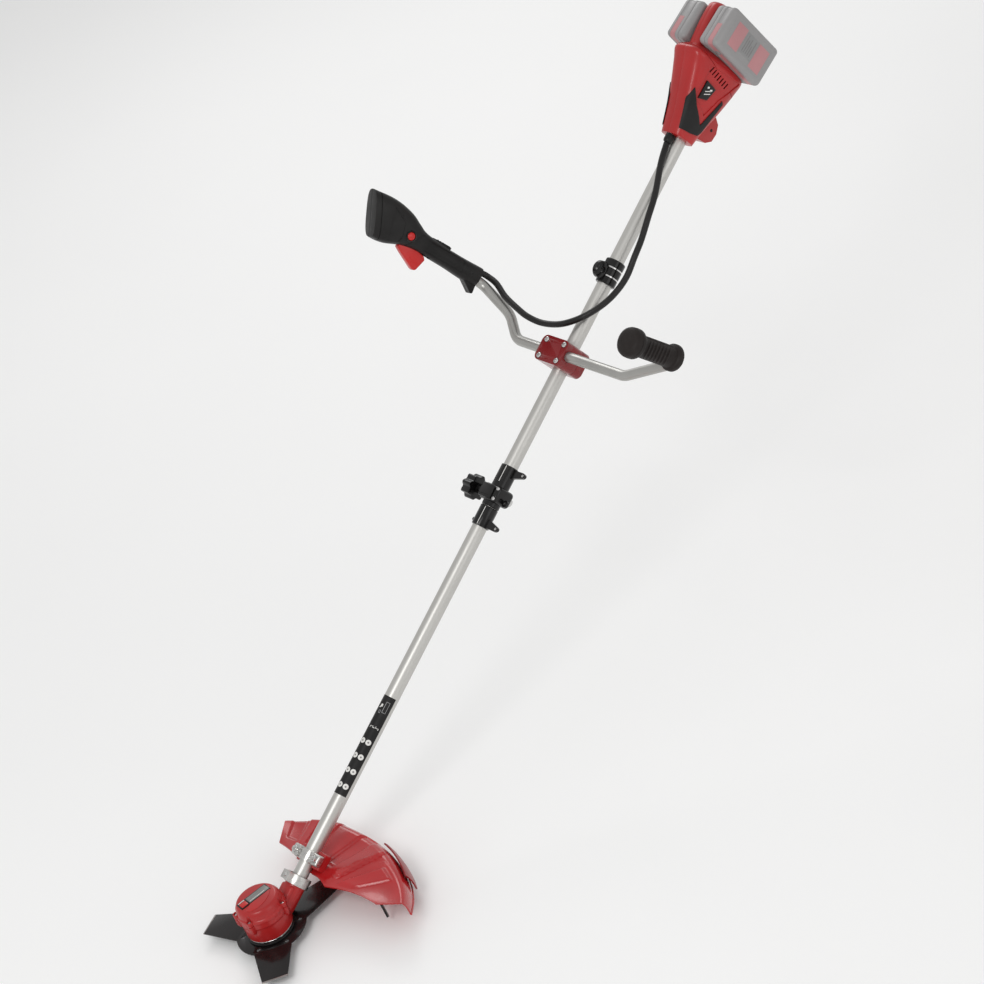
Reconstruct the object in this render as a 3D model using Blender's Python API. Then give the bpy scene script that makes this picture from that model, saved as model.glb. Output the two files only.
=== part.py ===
"""A two-battery string trimmer with a bicycle handlebar and a three-tooth blade.

Metres, +Z up.  The origin is the flat end of the blade nut, on the blade's axis.
+X points back along the ground towards the user, and +Y is the user's right.
Pieces on the pole are placed in shaft_frame: local X runs up the pole, local Y
is the user's right and local Z is square to the pole.
"""
import math

import bmesh
import bpy
from mathutils import Matrix, Vector

GAP = 0.0003                       # clearance between pieces that touch

# ---- pole ----------------------------------------------------------------
POLE_ANGLE = math.radians(29.85)   # pole above the ground plane
POLE_BASE_Z = 0.0136               # height where the pole line meets the blade axis
TUBE_RADIUS = 0.0130
TUBE_WALL = 0.0015
LOWER_TUBE = (0.0560, 0.8060)      # from, to along the pole
UPPER_TUBE = (0.8100, 1.5450)

# ---- cutting head (heights above the nut's end) -----------------------------
BLADE_RADIUS = 0.1275
BLADE_DISC_RADIUS = 0.0616
BLADE_Z = (0.0152, 0.0168)
BLADE_BORE = 0.0127
TOOTH_COUNT = 3
TOOTH_MIDDLE = math.radians(115.2)
TOOTH_TIP_HALF = math.radians(10.0)
TOOTH_ROOT_HALF = math.radians(32.2)
DRUM_RADIUS = 0.0405
RIM_STEP = 0.0018                  # rim of the drum beyond its wall
DRUM_BOTTOM = 0.0250
DRUM_SPLIT = 0.0640
DRUM_TOP = 0.0870
DRUM_STEPS = 30
NECK = (0.0300, 0.0975)
NECK_RADIUS = 0.0178
SPINDLE_RADIUS = 0.0050
BOSS_ANGLES = [math.radians(a) for a in (55.0, 152.0, 208.0, 305.0)]

# ---- guard -----------------------------------------------------------------
GUARD_CLAMP_AT = 0.1345
GUARD_THICK = 0.0026
GUARD_START = math.radians(41.0)
GUARD_END = math.radians(-58.0)
GUARD_DECK_Z = 0.0630
GUARD_SKIRT_Z = 0.0130

# ---- coupling --------------------------------------------------------------
COUPLING = (0.7845, 0.8600)
COUPLING_MIDDLE = 0.8070
LOWER_SLEEVE = (0.7480, 0.7840)
SLEEVE_RADIUS = 0.0156

# ---- handlebar -------------------------------------------------------------
CLAMP_AT = 1.0637
CLAMP_SIZE = (0.0460, 0.0660)      # along the pole, across it
CLAMP_SCREWS = (0.0150, 0.0225)    # half spacing along the pole, across it
BAR_RADIUS = 0.0090
BAR_HEIGHT = 0.0265                # bar axis above the pole axis
LEFT_GRIP_BASE = Vector((1.1170, -0.2800, BAR_HEIGHT))
LEFT_GRIP_TILT = math.radians(-11.0)
CONTROL_BASE = Vector((1.1350, 0.2150, 0.0795))
CONTROL_TILT = math.radians(-16.3)
CONTROL_BAR_SHIFT = 0.0060         # bar in front of the grip's middle

# ---- hanger, housing and batteries ----------------------------------------
HANGER = (1.2060, 1.2500)
HOUSING_START = 1.4830
SHELL_WALL = 0.0026
BATTERY_CORNER = Vector((1.6325, 0.0, 0.0835))
BATTERY_SIZE = (0.0755, 0.0470, 0.1330)   # along the pole, out from the wall, long way
BATTERY_INNER = 0.0170
BATTERY_TILT = math.radians(5.0)
CABLE_RADIUS = 0.0055
CABLE_START = Vector((1.4660, 0.0000, 0.0215))


# ---- scene helpers ---------------------------------------------------------
def clear_scene():
    for item in list(bpy.data.objects):
        bpy.data.objects.remove(item, do_unlink=True)


def make_material(name, colour, roughness, metallic=0.0):
    material = bpy.data.materials.new(name)
    material.use_nodes = True
    shader = material.node_tree.nodes["Principled BSDF"]
    shader.inputs["Base Color"].default_value = (*colour, 1.0)
    shader.inputs["Roughness"].default_value = roughness
    shader.inputs["Metallic"].default_value = metallic
    material.diffuse_color = (*colour, 1.0)
    return material


def make_empty(name, location, rotation=(0.0, 0.0, 0.0), parent=None):
    empty = bpy.data.objects.new(name, None)
    bpy.context.scene.collection.objects.link(empty)
    empty.location = location
    empty.rotation_euler = rotation
    empty.parent = parent
    return empty


def add_object(name, mesh, material=None, parent=None, location=(0, 0, 0), rotation=(0, 0, 0)):
    thing = bpy.data.objects.new(name, mesh)
    bpy.context.scene.collection.objects.link(thing)
    thing.parent = parent
    thing.location = location
    thing.rotation_euler = rotation
    if material is not None:
        mesh.materials.append(material)
    return thing


def finish_mesh(name, maker, smooth=True):
    bmesh.ops.recalc_face_normals(maker, faces=maker.faces)
    mesh = bpy.data.meshes.new(name)
    maker.to_mesh(mesh)
    maker.free()
    if smooth:
        mesh.shade_smooth()
        mesh.set_sharp_from_angle(angle=math.radians(35))
    return mesh


# ---- mesh makers -----------------------------------------------------------
def skin_rings(maker, rings, closed_sides=True):
    """Join rings of vertices, each to the next, with quads."""
    for lower, upper in zip(rings, rings[1:]):
        count = len(lower)
        for i in range(count if closed_sides else count - 1):
            j = (i + 1) % count
            maker.faces.new((lower[i], lower[j], upper[j], upper[i]))


def turned_mesh(name, profile, steps=28):
    """Turn a profile of (radius, height) points about Z; it may start and end on the axis."""
    maker = bmesh.new()
    columns = []
    for radius, height in profile:
        if radius < 1e-7:
            columns.append([maker.verts.new((0, 0, height))])
            continue
        column = []
        for i in range(steps):
            angle = 2 * math.pi * i / steps
            column.append(maker.verts.new((radius * math.cos(angle), radius * math.sin(angle), height)))
        columns.append(column)
    pairs = list(zip(columns, columns[1:]))
    if len(columns[0]) > 1 and len(columns[-1]) > 1:
        pairs.append((columns[-1], columns[0]))
    for lower, upper in pairs:
        for i in range(steps):
            j = (i + 1) % steps
            corners = [lower[i % len(lower)], lower[j % len(lower)]]
            corners += [upper[j % len(upper)], upper[i % len(upper)]]
            maker.faces.new(list(dict.fromkeys(corners)))
    return finish_mesh(name, maker)


def disc_profile(radius, bottom, top, bevel=0.0):
    """Profile of a solid disc, for turned_mesh."""
    if bevel <= 0:
        return [(0, bottom), (radius, bottom), (radius, top), (0, top)]
    return [(0, bottom), (radius - bevel, bottom), (radius, bottom + bevel),
            (radius, top - bevel), (radius - bevel, top), (0, top)]


def ring_profile(inner, outer, bottom, top, bevel=0.0):
    """Profile of a ring, for turned_mesh."""
    if bevel <= 0:
        return [(inner, bottom), (outer, bottom), (outer, top), (inner, top)]
    return [(inner, bottom), (outer - bevel, bottom), (outer, bottom + bevel),
            (outer, top - bevel), (outer - bevel, top), (inner, top)]


def prism_mesh(name, outline, bottom, top, smooth=True):
    """Raise a flat outline of (x, y) points from bottom to top along Z."""
    maker = bmesh.new()
    low = [maker.verts.new((x, y, bottom)) for x, y in outline]
    high = [maker.verts.new((x, y, top)) for x, y in outline]
    maker.faces.new(low)
    maker.faces.new(high)
    skin_rings(maker, [low, high])
    return finish_mesh(name, maker, smooth)


def side_prism_mesh(name, outline, near, far):
    """Raise an outline of (x, z) points from near to far along Y."""
    maker = bmesh.new()
    low = [maker.verts.new((x, near, z)) for x, z in outline]
    high = [maker.verts.new((x, far, z)) for x, z in outline]
    maker.faces.new(low)
    maker.faces.new(high)
    skin_rings(maker, [low, high])
    return finish_mesh(name, maker)


def box_mesh(name, size, centre=(0, 0, 0), bevel=0.0, segments=1):
    maker = bmesh.new()
    bmesh.ops.create_cube(maker, size=1.0)
    bmesh.ops.scale(maker, vec=size, verts=maker.verts)
    bmesh.ops.translate(maker, vec=centre, verts=maker.verts)
    if bevel > 0:
        bmesh.ops.bevel(maker, geom=list(maker.edges), offset=bevel, segments=segments,
                        profile=0.5, affect='EDGES', clamp_overlap=True)
    return finish_mesh(name, maker)


def rod_mesh(name, start, end, radius, steps=24):
    """A plain rod between two points."""
    mesh = turned_mesh(name, disc_profile(radius, 0.0, (end - start).length), steps)
    turn = Vector((0, 0, 1)).rotation_difference(end - start).to_matrix().to_4x4()
    mesh.transform(Matrix.Translation(start) @ turn)
    return mesh


def oval(half_width, low, high, power, steps, at):
    """A ring of points round a rounded box, in the plane X = at."""
    middle = (low + high) / 2
    half_height = (high - low) / 2
    points = []
    for i in range(steps):
        angle = 2 * math.pi * (i + 0.5) / steps
        cosine = math.cos(angle)
        sine = math.sin(angle)
        across = math.copysign(abs(cosine) ** (2 / power), cosine)
        upward = math.copysign(abs(sine) ** (2 / power), sine)
        points.append((at, half_width * across, middle + half_height * upward))
    return points


def loft_mesh(name, sections, grow=0.0, steps=24):
    """Skin a row of oval sections (at, low, high, half width, power), made larger by grow."""
    maker = bmesh.new()
    rings = []
    for index, (at, low, high, half_width, power) in enumerate(sections):
        place = at
        if index == 0:
            place = at - grow
        if index == len(sections) - 1:
            place = at + grow
        ring = oval(half_width + grow, low - grow, high + grow, power, steps, place)
        rings.append([maker.verts.new(point) for point in ring])
    skin_rings(maker, rings)
    maker.faces.new(rings[0])
    maker.faces.new(rings[-1])
    return finish_mesh(name, maker)


def rounded_path(corners, radii, steps=5):
    """Points along a bent rod, with an arc of the given radius at each inner corner."""
    path = [corners[0]]
    for before, corner, after, radius in zip(corners, corners[1:], corners[2:], radii):
        back = (before - corner).normalized()
        ahead = (after - corner).normalized()
        half = back.angle(ahead) / 2
        room = 0.48 * min((before - corner).length, (after - corner).length)
        reach = min(radius / math.tan(half), room)
        radius = reach * math.tan(half)
        middle = corner + (back + ahead).normalized() * (radius / math.sin(half))
        first = (corner + back * reach - middle).normalized()
        last = (corner + ahead * reach - middle).normalized()
        for i in range(steps + 1):
            path.append(middle + first.slerp(last, i / steps) * radius)
    path.append(corners[-1])
    return path


def pipe_mesh(name, path, outer, inner=0.0, steps=12):
    """Sweep a round pipe, or a rod when inner is 0, along a path."""
    maker = bmesh.new()
    tangents = []
    for i in range(len(path)):
        ahead = path[min(i + 1, len(path) - 1)]
        behind = path[max(i - 1, 0)]
        tangents.append((ahead - behind).normalized())
    side = tangents[0].orthogonal().normalized()
    frames = []
    for i, tangent in enumerate(tangents):
        if i > 0:
            side = tangents[i - 1].rotation_difference(tangent) @ side
        side = (side - tangent * side.dot(tangent)).normalized()
        frames.append((path[i], side, tangent.cross(side)))

    def skin(radius):
        rings = []
        for point, first, second in frames:
            ring = []
            for k in range(steps):
                angle = 2 * math.pi * k / steps
                offset = first * math.cos(angle) + second * math.sin(angle)
                ring.append(maker.verts.new(point + offset * radius))
            rings.append(ring)
        skin_rings(maker, rings)
        return rings

    outside = skin(outer)
    if inner > 0:
        inside = skin(inner)
        skin_rings(maker, [inside[0], outside[0]])
        skin_rings(maker, [inside[-1], outside[-1]])
    else:
        maker.faces.new(outside[0])
        maker.faces.new(outside[-1])
    return finish_mesh(name, maker)


# ---- cutting and joining ---------------------------------------------------
def boolean(target, mesh, operation, parent=None, location=(0, 0, 0), rotation=(0, 0, 0)):
    tool = add_object(mesh.name + "_tool", mesh, None, parent or target.parent, location, rotation)
    tool.hide_render = True
    tool.display_type = 'WIRE'
    modifier = target.modifiers.new(operation.lower() + "_" + mesh.name, 'BOOLEAN')
    modifier.operation = operation
    modifier.object = tool
    modifier.solver = 'EXACT'
    return tool


def cut(target, mesh, **place):
    return boolean(target, mesh, 'DIFFERENCE', **place)


def join(target, mesh, **place):
    return boolean(target, mesh, 'UNION', **place)


def keep(target, mesh, **place):
    return boolean(target, mesh, 'INTERSECT', **place)


clear_scene()
RED = make_material("red_plastic", (0.55, 0.035, 0.03), 0.35)
DARK_RED = make_material("dark_red_plastic", (0.36, 0.02, 0.02), 0.35)
RED_METAL = make_material("red_painted_metal", (0.45, 0.015, 0.02), 0.3, 0.2)
BLACK = make_material("black_plastic", (0.02, 0.018, 0.018), 0.45)
RUBBER = make_material("black_rubber", (0.03, 0.025, 0.025), 0.7)
ALUMINIUM = make_material("aluminium", (0.75, 0.74, 0.7), 0.35, 1.0)
STEEL = make_material("steel", (0.6, 0.6, 0.6), 0.3, 1.0)
BLADE_STEEL = make_material("blade_steel", (0.02, 0.015, 0.015), 0.25, 0.6)
COPPER = make_material("copper", (0.7, 0.3, 0.15), 0.35, 1.0)
GREY = make_material("pale_grey_plastic", (0.5, 0.48, 0.48), 0.4)
GREEN = make_material("circuit_board", (0.02, 0.2, 0.06), 0.5)

ALONG_POLE = (0.0, math.pi / 2, 0.0)        # turns a local Z axis onto local X
ACROSS_POLE = (-math.pi / 2, 0.0, 0.0)      # turns a local Z axis onto local Y

shaft_frame = make_empty("shaft_frame", (0, 0, POLE_BASE_Z), (0, -POLE_ANGLE, 0))


# ---- cutting head ----------------------------------------------------------
def add_turned(name, profile, material, steps=28, parent=None, location=(0, 0, 0), rotation=(0, 0, 0)):
    return add_object(name, turned_mesh(name, profile, steps), material, parent, location, rotation)


def polar(radius, angle):
    return (radius * math.cos(angle), radius * math.sin(angle))


def blade_outline():
    points = []
    arc_steps = 5
    pitch = 2 * math.pi / TOOTH_COUNT
    for tooth in range(TOOTH_COUNT):
        middle = TOOTH_MIDDLE + tooth * pitch
        points.append(polar(BLADE_RADIUS, middle - TOOTH_TIP_HALF))
        points.append(polar(BLADE_RADIUS, middle + TOOTH_TIP_HALF))
        arc_start = middle + TOOTH_ROOT_HALF
        arc = pitch - 2 * TOOTH_ROOT_HALF
        for i in range(arc_steps + 1):
            points.append(polar(BLADE_DISC_RADIUS, arc_start + arc * i / arc_steps))
    return points


def build_blade_stack():
    blade = add_object("cutting_blade", prism_mesh("blade", blade_outline(), *BLADE_Z, smooth=False),
                       BLADE_STEEL)
    cut(blade, turned_mesh("blade_bore", disc_profile(BLADE_BORE, 0.0, 0.03), 32))
    hub = BLADE_BORE - GAP
    add_turned("drive_flange", [(SPINDLE_RADIUS + GAP, 0.0156), (hub, 0.0156), (hub, 0.0171),
                                (0.0410, 0.0171), (0.0425, 0.0186), (0.0425, 0.0212),
                                (SPINDLE_RADIUS + GAP, 0.0212)], BLACK)
    add_turned("clamp_flange", ring_profile(SPINDLE_RADIUS + GAP, 0.0230, 0.0110, 0.0149, 0.001), STEEL)
    add_turned("glide_cup", [(0.0125, 0.0040), (0.0200, 0.0016), (0.0290, 0.0040), (0.0310, 0.0085),
                             (0.0290, 0.0107), (0.0125, 0.0107)], STEEL)
    nut = add_turned("blade_nut", disc_profile(0.0098, 0.0, 0.0107), STEEL, 6)
    cut(nut, turned_mesh("nut_bore", disc_profile(SPINDLE_RADIUS + GAP, 0.0040, 0.02), 24))
    add_turned("spindle", disc_profile(SPINDLE_RADIUS, 0.0045, 0.0822), STEEL, 24)


def build_motor():
    cavity = DRUM_RADIUS - 0.0040
    rim = DRUM_RADIUS + RIM_STEP
    drum = add_turned("motor_housing", [(0, DRUM_BOTTOM - 0.004), (DRUM_RADIUS - 0.0030, DRUM_BOTTOM - 0.004),
                                        (DRUM_RADIUS, DRUM_BOTTOM + 0.0015), (DRUM_RADIUS, DRUM_SPLIT - 0.0095),
                                        (rim, DRUM_SPLIT - 0.0075), (rim, DRUM_SPLIT), (0, DRUM_SPLIT)],
                      RED, DRUM_STEPS)
    neck = rod_mesh("neck", Vector((NECK[0], 0, 0)), Vector((NECK[1], 0, 0)), NECK_RADIUS)
    join(drum, neck, parent=shaft_frame)
    web = box_mesh("neck_web", (0.034, 0.030, 0.022), (0.062, 0, 0.006), 0.003)
    join(drum, web, parent=shaft_frame)
    cut(drum, box_mesh("below_drum", (0.2, 0.2, 0.05), (0, 0, DRUM_BOTTOM - 0.025)))
    for index, angle in enumerate(BOSS_ANGLES):
        x, y = polar(DRUM_RADIUS + 0.0008, angle)
        boss = turned_mesh("boss_%d" % index, disc_profile(0.0058, DRUM_SPLIT - 0.014, DRUM_SPLIT - 0.0004), 12)
        join(drum, boss, location=(x, y, 0))
    cut(drum, turned_mesh("drum_cavity", disc_profile(cavity, 0.0290, DRUM_SPLIT + 0.001), DRUM_STEPS))
    cut(drum, turned_mesh("lower_bearing_seat", disc_profile(0.0125 + GAP, 0.0265, 0.030), 32))
    cut(drum, turned_mesh("spindle_hole", disc_profile(0.0075, 0.02, 0.030), 24))
    bore = TUBE_RADIUS + GAP
    bore_start = LOWER_TUBE[0] - GAP
    bore_profile = [(0, 0.0380), (0.0060, 0.0380), (0.0060, bore_start), (bore, bore_start), (bore, 0.12),
                    (0, 0.12)]
    cut(drum, turned_mesh("neck_bore", bore_profile, 32), parent=shaft_frame, rotation=ALONG_POLE)

    split = DRUM_SPLIT + GAP
    cover = add_turned("motor_cover", [(0, split), (rim, split),
                                       (rim, split + 0.0055), (DRUM_RADIUS, split + 0.0075),
                                       (DRUM_RADIUS - 0.0005, split + 0.0150), (0.0350, DRUM_TOP - 0.0012),
                                       (0.0320, DRUM_TOP), (0, DRUM_TOP)], RED, DRUM_STEPS)
    for index, angle in enumerate(BOSS_ANGLES):
        x, y = polar(DRUM_RADIUS + 0.0008, angle)
        boss = turned_mesh("cover_boss_%d" % index, disc_profile(0.0058, split + 0.0004, split + 0.0085), 12)
        join(cover, boss, location=(x, y, 0))
        hole = turned_mesh("boss_hole_%d" % index, disc_profile(0.0026, split + 0.003, split + 0.02), 8)
        cut(cover, hole, location=(x, y, 0))
    cut(cover, turned_mesh("cover_cavity", [(0, split - 0.01), (cavity, split - 0.01), (cavity, split + 0.012),
                                            (0.0320, DRUM_TOP - 0.004), (0, DRUM_TOP - 0.004)], DRUM_STEPS))
    join(cover, turned_mesh("bearing_post", ring_profile(0.0095 + GAP, 0.0125, 0.0752, DRUM_TOP - 0.002), 24))

    add_turned("seal_ring", ring_profile(0.0290, 0.0400, 0.0218, DRUM_BOTTOM - GAP, 0.0008), STEEL, 36)
    add_turned("lower_bearing", ring_profile(SPINDLE_RADIUS + GAP, 0.0125, 0.0268, 0.0338, 0.0005), STEEL)
    add_turned("upper_bearing", ring_profile(SPINDLE_RADIUS + GAP, 0.0095, 0.0756, 0.0816, 0.0005), STEEL)
    add_turned("winding_ring", ring_profile(0.0255, 0.0335, 0.0663, 0.0720, 0.0020), COPPER)
    stator = add_turned("stator_core", ring_profile(0.0225, 0.0362, 0.0400, 0.0660), STEEL, 36)
    slots = 9
    for slot in range(slots):
        angle = 2 * math.pi * slot / slots
        groove = box_mesh("stator_slot_%d" % slot, (0.0120, 0.0050, 0.04), (0.0270, 0, 0.053))
        cut(stator, groove, rotation=(0, 0, angle))
    add_turned("rotor", ring_profile(SPINDLE_RADIUS + GAP, 0.0218, 0.0400, 0.0660, 0.0008), STEEL)


# ---- guard -----------------------------------------------------------------
def guard_inner_radius(angle):
    """Front edge of the deck: close to the neck in the middle, further out at the ends."""
    degrees = math.degrees(angle)
    if degrees > -8:
        return 0.1010 + 0.056 * ((degrees + 8) / 49) ** 2
    bay = 0.1010 + 0.00035 * (-8 - degrees)
    return bay + 0.092 * max(0.0, (-33 - degrees) / 25) ** 1.3


def guard_outer_radius(angle):
    """Rim of the guard, which swings out towards its low end."""
    degrees = math.degrees(angle)
    return 0.2200 + 0.044 * max(0.0, (5 - degrees) / 62) ** 1.5


def guard_height(angle, share):
    """Height of the guard's top face at a share of the way from its front edge to its rim."""
    degrees = math.degrees(angle)
    drop = max(0.0, (share - 0.60) / 0.40) ** 1.8
    flute = 0.0045 * math.sin(math.radians(degrees * 9.0)) * math.sin(math.pi * min(1.0, share * 1.15))
    rise = 0.022 * max(0.0, (-30 - degrees) / 27)
    return GUARD_DECK_Z - (GUARD_DECK_Z - GUARD_SKIRT_Z - rise) * drop + flute


def guard_mesh(name, start, end, first_share, lift, thick, columns, rows, reach=0.0):
    """A curved sheet of the deck's shape; reach carries its outer edge past the rim."""
    maker = bmesh.new()
    top = []
    bottom = []
    for i in range(columns + 1):
        angle = start + (end - start) * i / columns
        inner = guard_inner_radius(angle)
        outer = guard_outer_radius(angle) + reach
        points = []
        for k in range(rows + 1):
            share = first_share + (1 - first_share) * k / rows
            eased = math.sin(share * math.pi / 2) ** 0.9
            x, y = polar(inner + (outer - inner) * eased, angle)
            points.append(Vector((x, y, guard_height(angle, share))))
        normals = []
        for k in range(rows + 1):
            along = points[min(k + 1, rows)] - points[max(k - 1, 0)]
            round_way = Vector((-math.sin(angle), math.cos(angle), 0))
            normal = along.cross(round_way)
            normals.append(normal.normalized() if normal.z > 0 else -normal.normalized())
        top.append([maker.verts.new(p + n * lift) for p, n in zip(points, normals)])
        bottom.append([maker.verts.new(p + n * (lift - thick)) for p, n in zip(points, normals)])
    skin_rings(maker, top, closed_sides=False)
    skin_rings(maker, bottom, closed_sides=False)
    for k in (0, -1):
        for i in range(columns):
            maker.faces.new((top[i][k], top[i + 1][k], bottom[i + 1][k], bottom[i][k]))
    for side in (0, -1):
        for k in range(rows):
            maker.faces.new((top[side][k], top[side][k + 1], bottom[side][k + 1], bottom[side][k]))
    return finish_mesh(name, maker)


def build_guard():
    shield_mesh = guard_mesh("shield", GUARD_START, GUARD_END, 0.0, 0.0, GUARD_THICK, 26, 8)
    shield = add_object("guard_shield", shield_mesh, RED)
    saddle = box_mesh("saddle", (0.030, 0.062, 0.016), (GUARD_CLAMP_AT, 0, -0.0095), 0.002)
    join(shield, saddle, parent=shaft_frame)
    cut(shield, rod_mesh("guard_pole_cut", Vector((0.05, 0, 0)), Vector((0.3, 0, 0)), TUBE_RADIUS + GAP),
        parent=shaft_frame)
    tail = guard_mesh("tail", math.radians(-17), math.radians(-42), 0.76, GUARD_THICK + 3 * GAP,
                      GUARD_THICK, 12, 5, 0.005)
    add_object("guard_extension", tail, DARK_RED)
    add_guard_clamp()
    add_line_cutter()


def add_guard_clamp():
    clamp = add_object("guard_clamp", box_mesh("clamp_block", (0.0200, 0.0700, 0.0130),
                                               (0, 0, 0.0055), 0.0018, 2),
                       ALUMINIUM, shaft_frame, (GUARD_CLAMP_AT, 0, 0))
    arch = rod_mesh("clamp_arch", Vector((-0.0100, 0, 0)), Vector((0.0100, 0, 0)), TUBE_RADIUS + 0.0042)
    join(clamp, arch, location=(GUARD_CLAMP_AT, 0, 0))
    below = box_mesh("clamp_below", (0.05, 0.09, 0.04), (GUARD_CLAMP_AT, 0, -0.0202))
    cut(clamp, below)
    bore = rod_mesh("clamp_bore", Vector((-0.02, 0, 0)), Vector((0.02, 0, 0)), TUBE_RADIUS + GAP)
    cut(clamp, bore, location=(GUARD_CLAMP_AT, 0, 0))
    for side, name in ((1, "guard_bolt_right"), (-1, "guard_bolt_left")):
        place = (GUARD_CLAMP_AT, side * 0.0262, 0)
        hole = turned_mesh(name + "_hole", disc_profile(0.0030 + GAP, -0.03, 0.02), 16)
        cut(clamp, hole, location=place)
        bolt = add_turned(name, [(0, 0.0123), (0.0062, 0.0123), (0.0062, 0.0165), (0.0045, 0.0185),
                                 (0, 0.0185)], STEEL, 20, shaft_frame, place)
        join(bolt, turned_mesh(name + "_shank", disc_profile(0.0030, -0.0010, 0.0140), 16), location=place)


def add_line_cutter():
    """Thin bent blade that hangs from the low end of the guard and trims a nylon line."""
    angle = math.radians(-43)
    x, y = polar(0.2060, angle)
    blade = box_mesh("cutter_strip", (0.0012, 0.0120, 0.0330), (0, 0, -0.0165))
    foot = box_mesh("cutter_foot", (0.0100, 0.0120, 0.0012), (-0.0045, 0, -0.0006))
    cutter = add_object("line_cutter", blade, STEEL, None, (x, y, 0.0360), (0, 0, angle))
    join(cutter, foot, location=(x, y, 0.0360), rotation=(0, 0, angle))


# ---- poles and coupling ----------------------------------------------------
def add_pole_piece(name, inner, outer, start, end, material, steps=32, bevel=0.0):
    """A ring or a tube round the pole, from start to end along it."""
    return add_turned(name, ring_profile(inner, outer, 0.0, end - start, bevel), material, steps,
                      shaft_frame, (start, 0, 0), ALONG_POLE)


def add_pole_rod(name, radius, start, end, material, steps=16):
    return add_turned(name, disc_profile(radius, 0.0, end - start, radius * 0.1), material, steps,
                      shaft_frame, (start, 0, 0), ALONG_POLE)


def build_poles():
    inner = TUBE_RADIUS - TUBE_WALL
    add_pole_piece("lower_tube", inner, TUBE_RADIUS, *LOWER_TUBE, ALUMINIUM)
    add_pole_piece("upper_tube", inner, TUBE_RADIUS, *UPPER_TUBE, ALUMINIUM)
    add_pole_rod("lower_power_lead", 0.0040, 0.0475, 0.7250, RUBBER)
    add_pole_rod("lower_connector", 0.0105, 0.7253, 0.8070, BLACK, 20)
    add_pole_rod("upper_connector", 0.0105, 0.8085, 0.8500, BLACK, 20)
    add_pole_rod("upper_power_lead", 0.0040, 0.8503, 1.5485, RUBBER)
    strap = add_pole_piece("neck_strap", NECK_RADIUS + GAP, NECK_RADIUS + 0.0028, 0.0860, 0.0970, STEEL)
    ear = box_mesh("strap_ear", (0.0100, 0.0120, 0.0120), (0.0915, 0, 0.0245), 0.0015, 2)
    join(strap, ear)


def sleeve_ear(target, name, at, lean):
    """Flat ear with a hole that stands out on the left of a sleeve."""
    outline = [(at - 0.0070 + lean, -0.0100), (at + 0.0070 + lean, -0.0100), (at + 0.0042, -0.0400),
               (at + 0.0016, -0.0445), (at - 0.0016, -0.0445), (at - 0.0042, -0.0400)]
    join(target, prism_mesh(name, outline, -0.0025, 0.0025))
    hole = turned_mesh(name + "_hole", disc_profile(0.0022, -0.01, 0.01), 12)
    cut(target, hole, location=(at, -0.0392, 0))


def add_sleeve(name, start, end):
    """A solid black collar round the pole, still to be bored."""
    return add_turned(name, disc_profile(SLEEVE_RADIUS, 0.0, end - start, 0.0008), BLACK, 32, shaft_frame,
                      (start, 0, 0), ALONG_POLE)


def build_coupling():
    bore = TUBE_RADIUS + GAP
    slide_bore = (Vector((0.70, 0, 0)), Vector((0.90, 0, 0)), bore, 32)
    sleeve = add_sleeve("lower_sleeve", *LOWER_SLEEVE)
    sleeve_ear(sleeve, "lower_ear", 0.7540, 0.0035)
    cut(sleeve, rod_mesh("sleeve_bore", *slide_bore))
    body = add_sleeve("coupling_body", *COUPLING)
    sleeve_ear(body, "upper_ear", 0.8530, -0.0035)
    middle = COUPLING_MIDDLE
    block = box_mesh("coupling_block", (0.0300, 0.0500, 0.0400), (middle, -0.0020, -0.0010), 0.0050, 2)
    join(body, block)
    neck = turned_mesh("knob_neck", disc_profile(0.0090, 0.015, 0.0440), 20)
    join(body, neck, location=(middle, 0, 0), rotation=ACROSS_POLE)
    barrel = turned_mesh("pin_barrel", disc_profile(0.0085, -0.0290, -0.012), 20)
    join(body, barrel, location=(middle, 0, 0))
    cut(body, rod_mesh("coupling_bore", *slide_bore))
    stud_bore = turned_mesh("stud_bore", disc_profile(0.0040 + GAP, 0.010, 0.050), 16)
    cut(body, stud_bore, location=(middle, 0, 0), rotation=ACROSS_POLE)
    pin_bore = turned_mesh("pin_bore", disc_profile(0.0045 + GAP, -0.0350, -0.010), 16)
    cut(body, pin_bore, location=(middle, 0, 0))

    lobes = 8
    outline_steps = 64
    outline = []
    for i in range(outline_steps):
        angle = 2 * math.pi * i / outline_steps
        outline.append(polar(0.0198 + 0.0020 * math.cos(lobes * angle), angle))
    knob = add_object("lock_knob", prism_mesh("lock_knob", outline, 0.0480, 0.0680), BLACK, shaft_frame,
                      (middle, 0, 0), ACROSS_POLE)
    stud = turned_mesh("stud", disc_profile(0.0040, 0.0140, 0.0500), 16)
    join(knob, stud, location=(middle, 0, 0), rotation=ACROSS_POLE)
    add_turned("lock_pin", [(0, -0.0360), (0.0070, -0.0360), (0.0070, -0.0293), (0.0045, -0.0293),
                            (0.0045, -0.0136), (0, -0.0136)], STEEL, 20, shaft_frame, (middle, 0, 0))


# ---- handlebar -------------------------------------------------------------
control_frame = make_empty("control_frame", CONTROL_BASE, (CONTROL_TILT, 0, 0), shaft_frame)
left_grip_frame = make_empty("left_grip_frame", LEFT_GRIP_BASE, (0, LEFT_GRIP_TILT, 0), shaft_frame)


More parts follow.
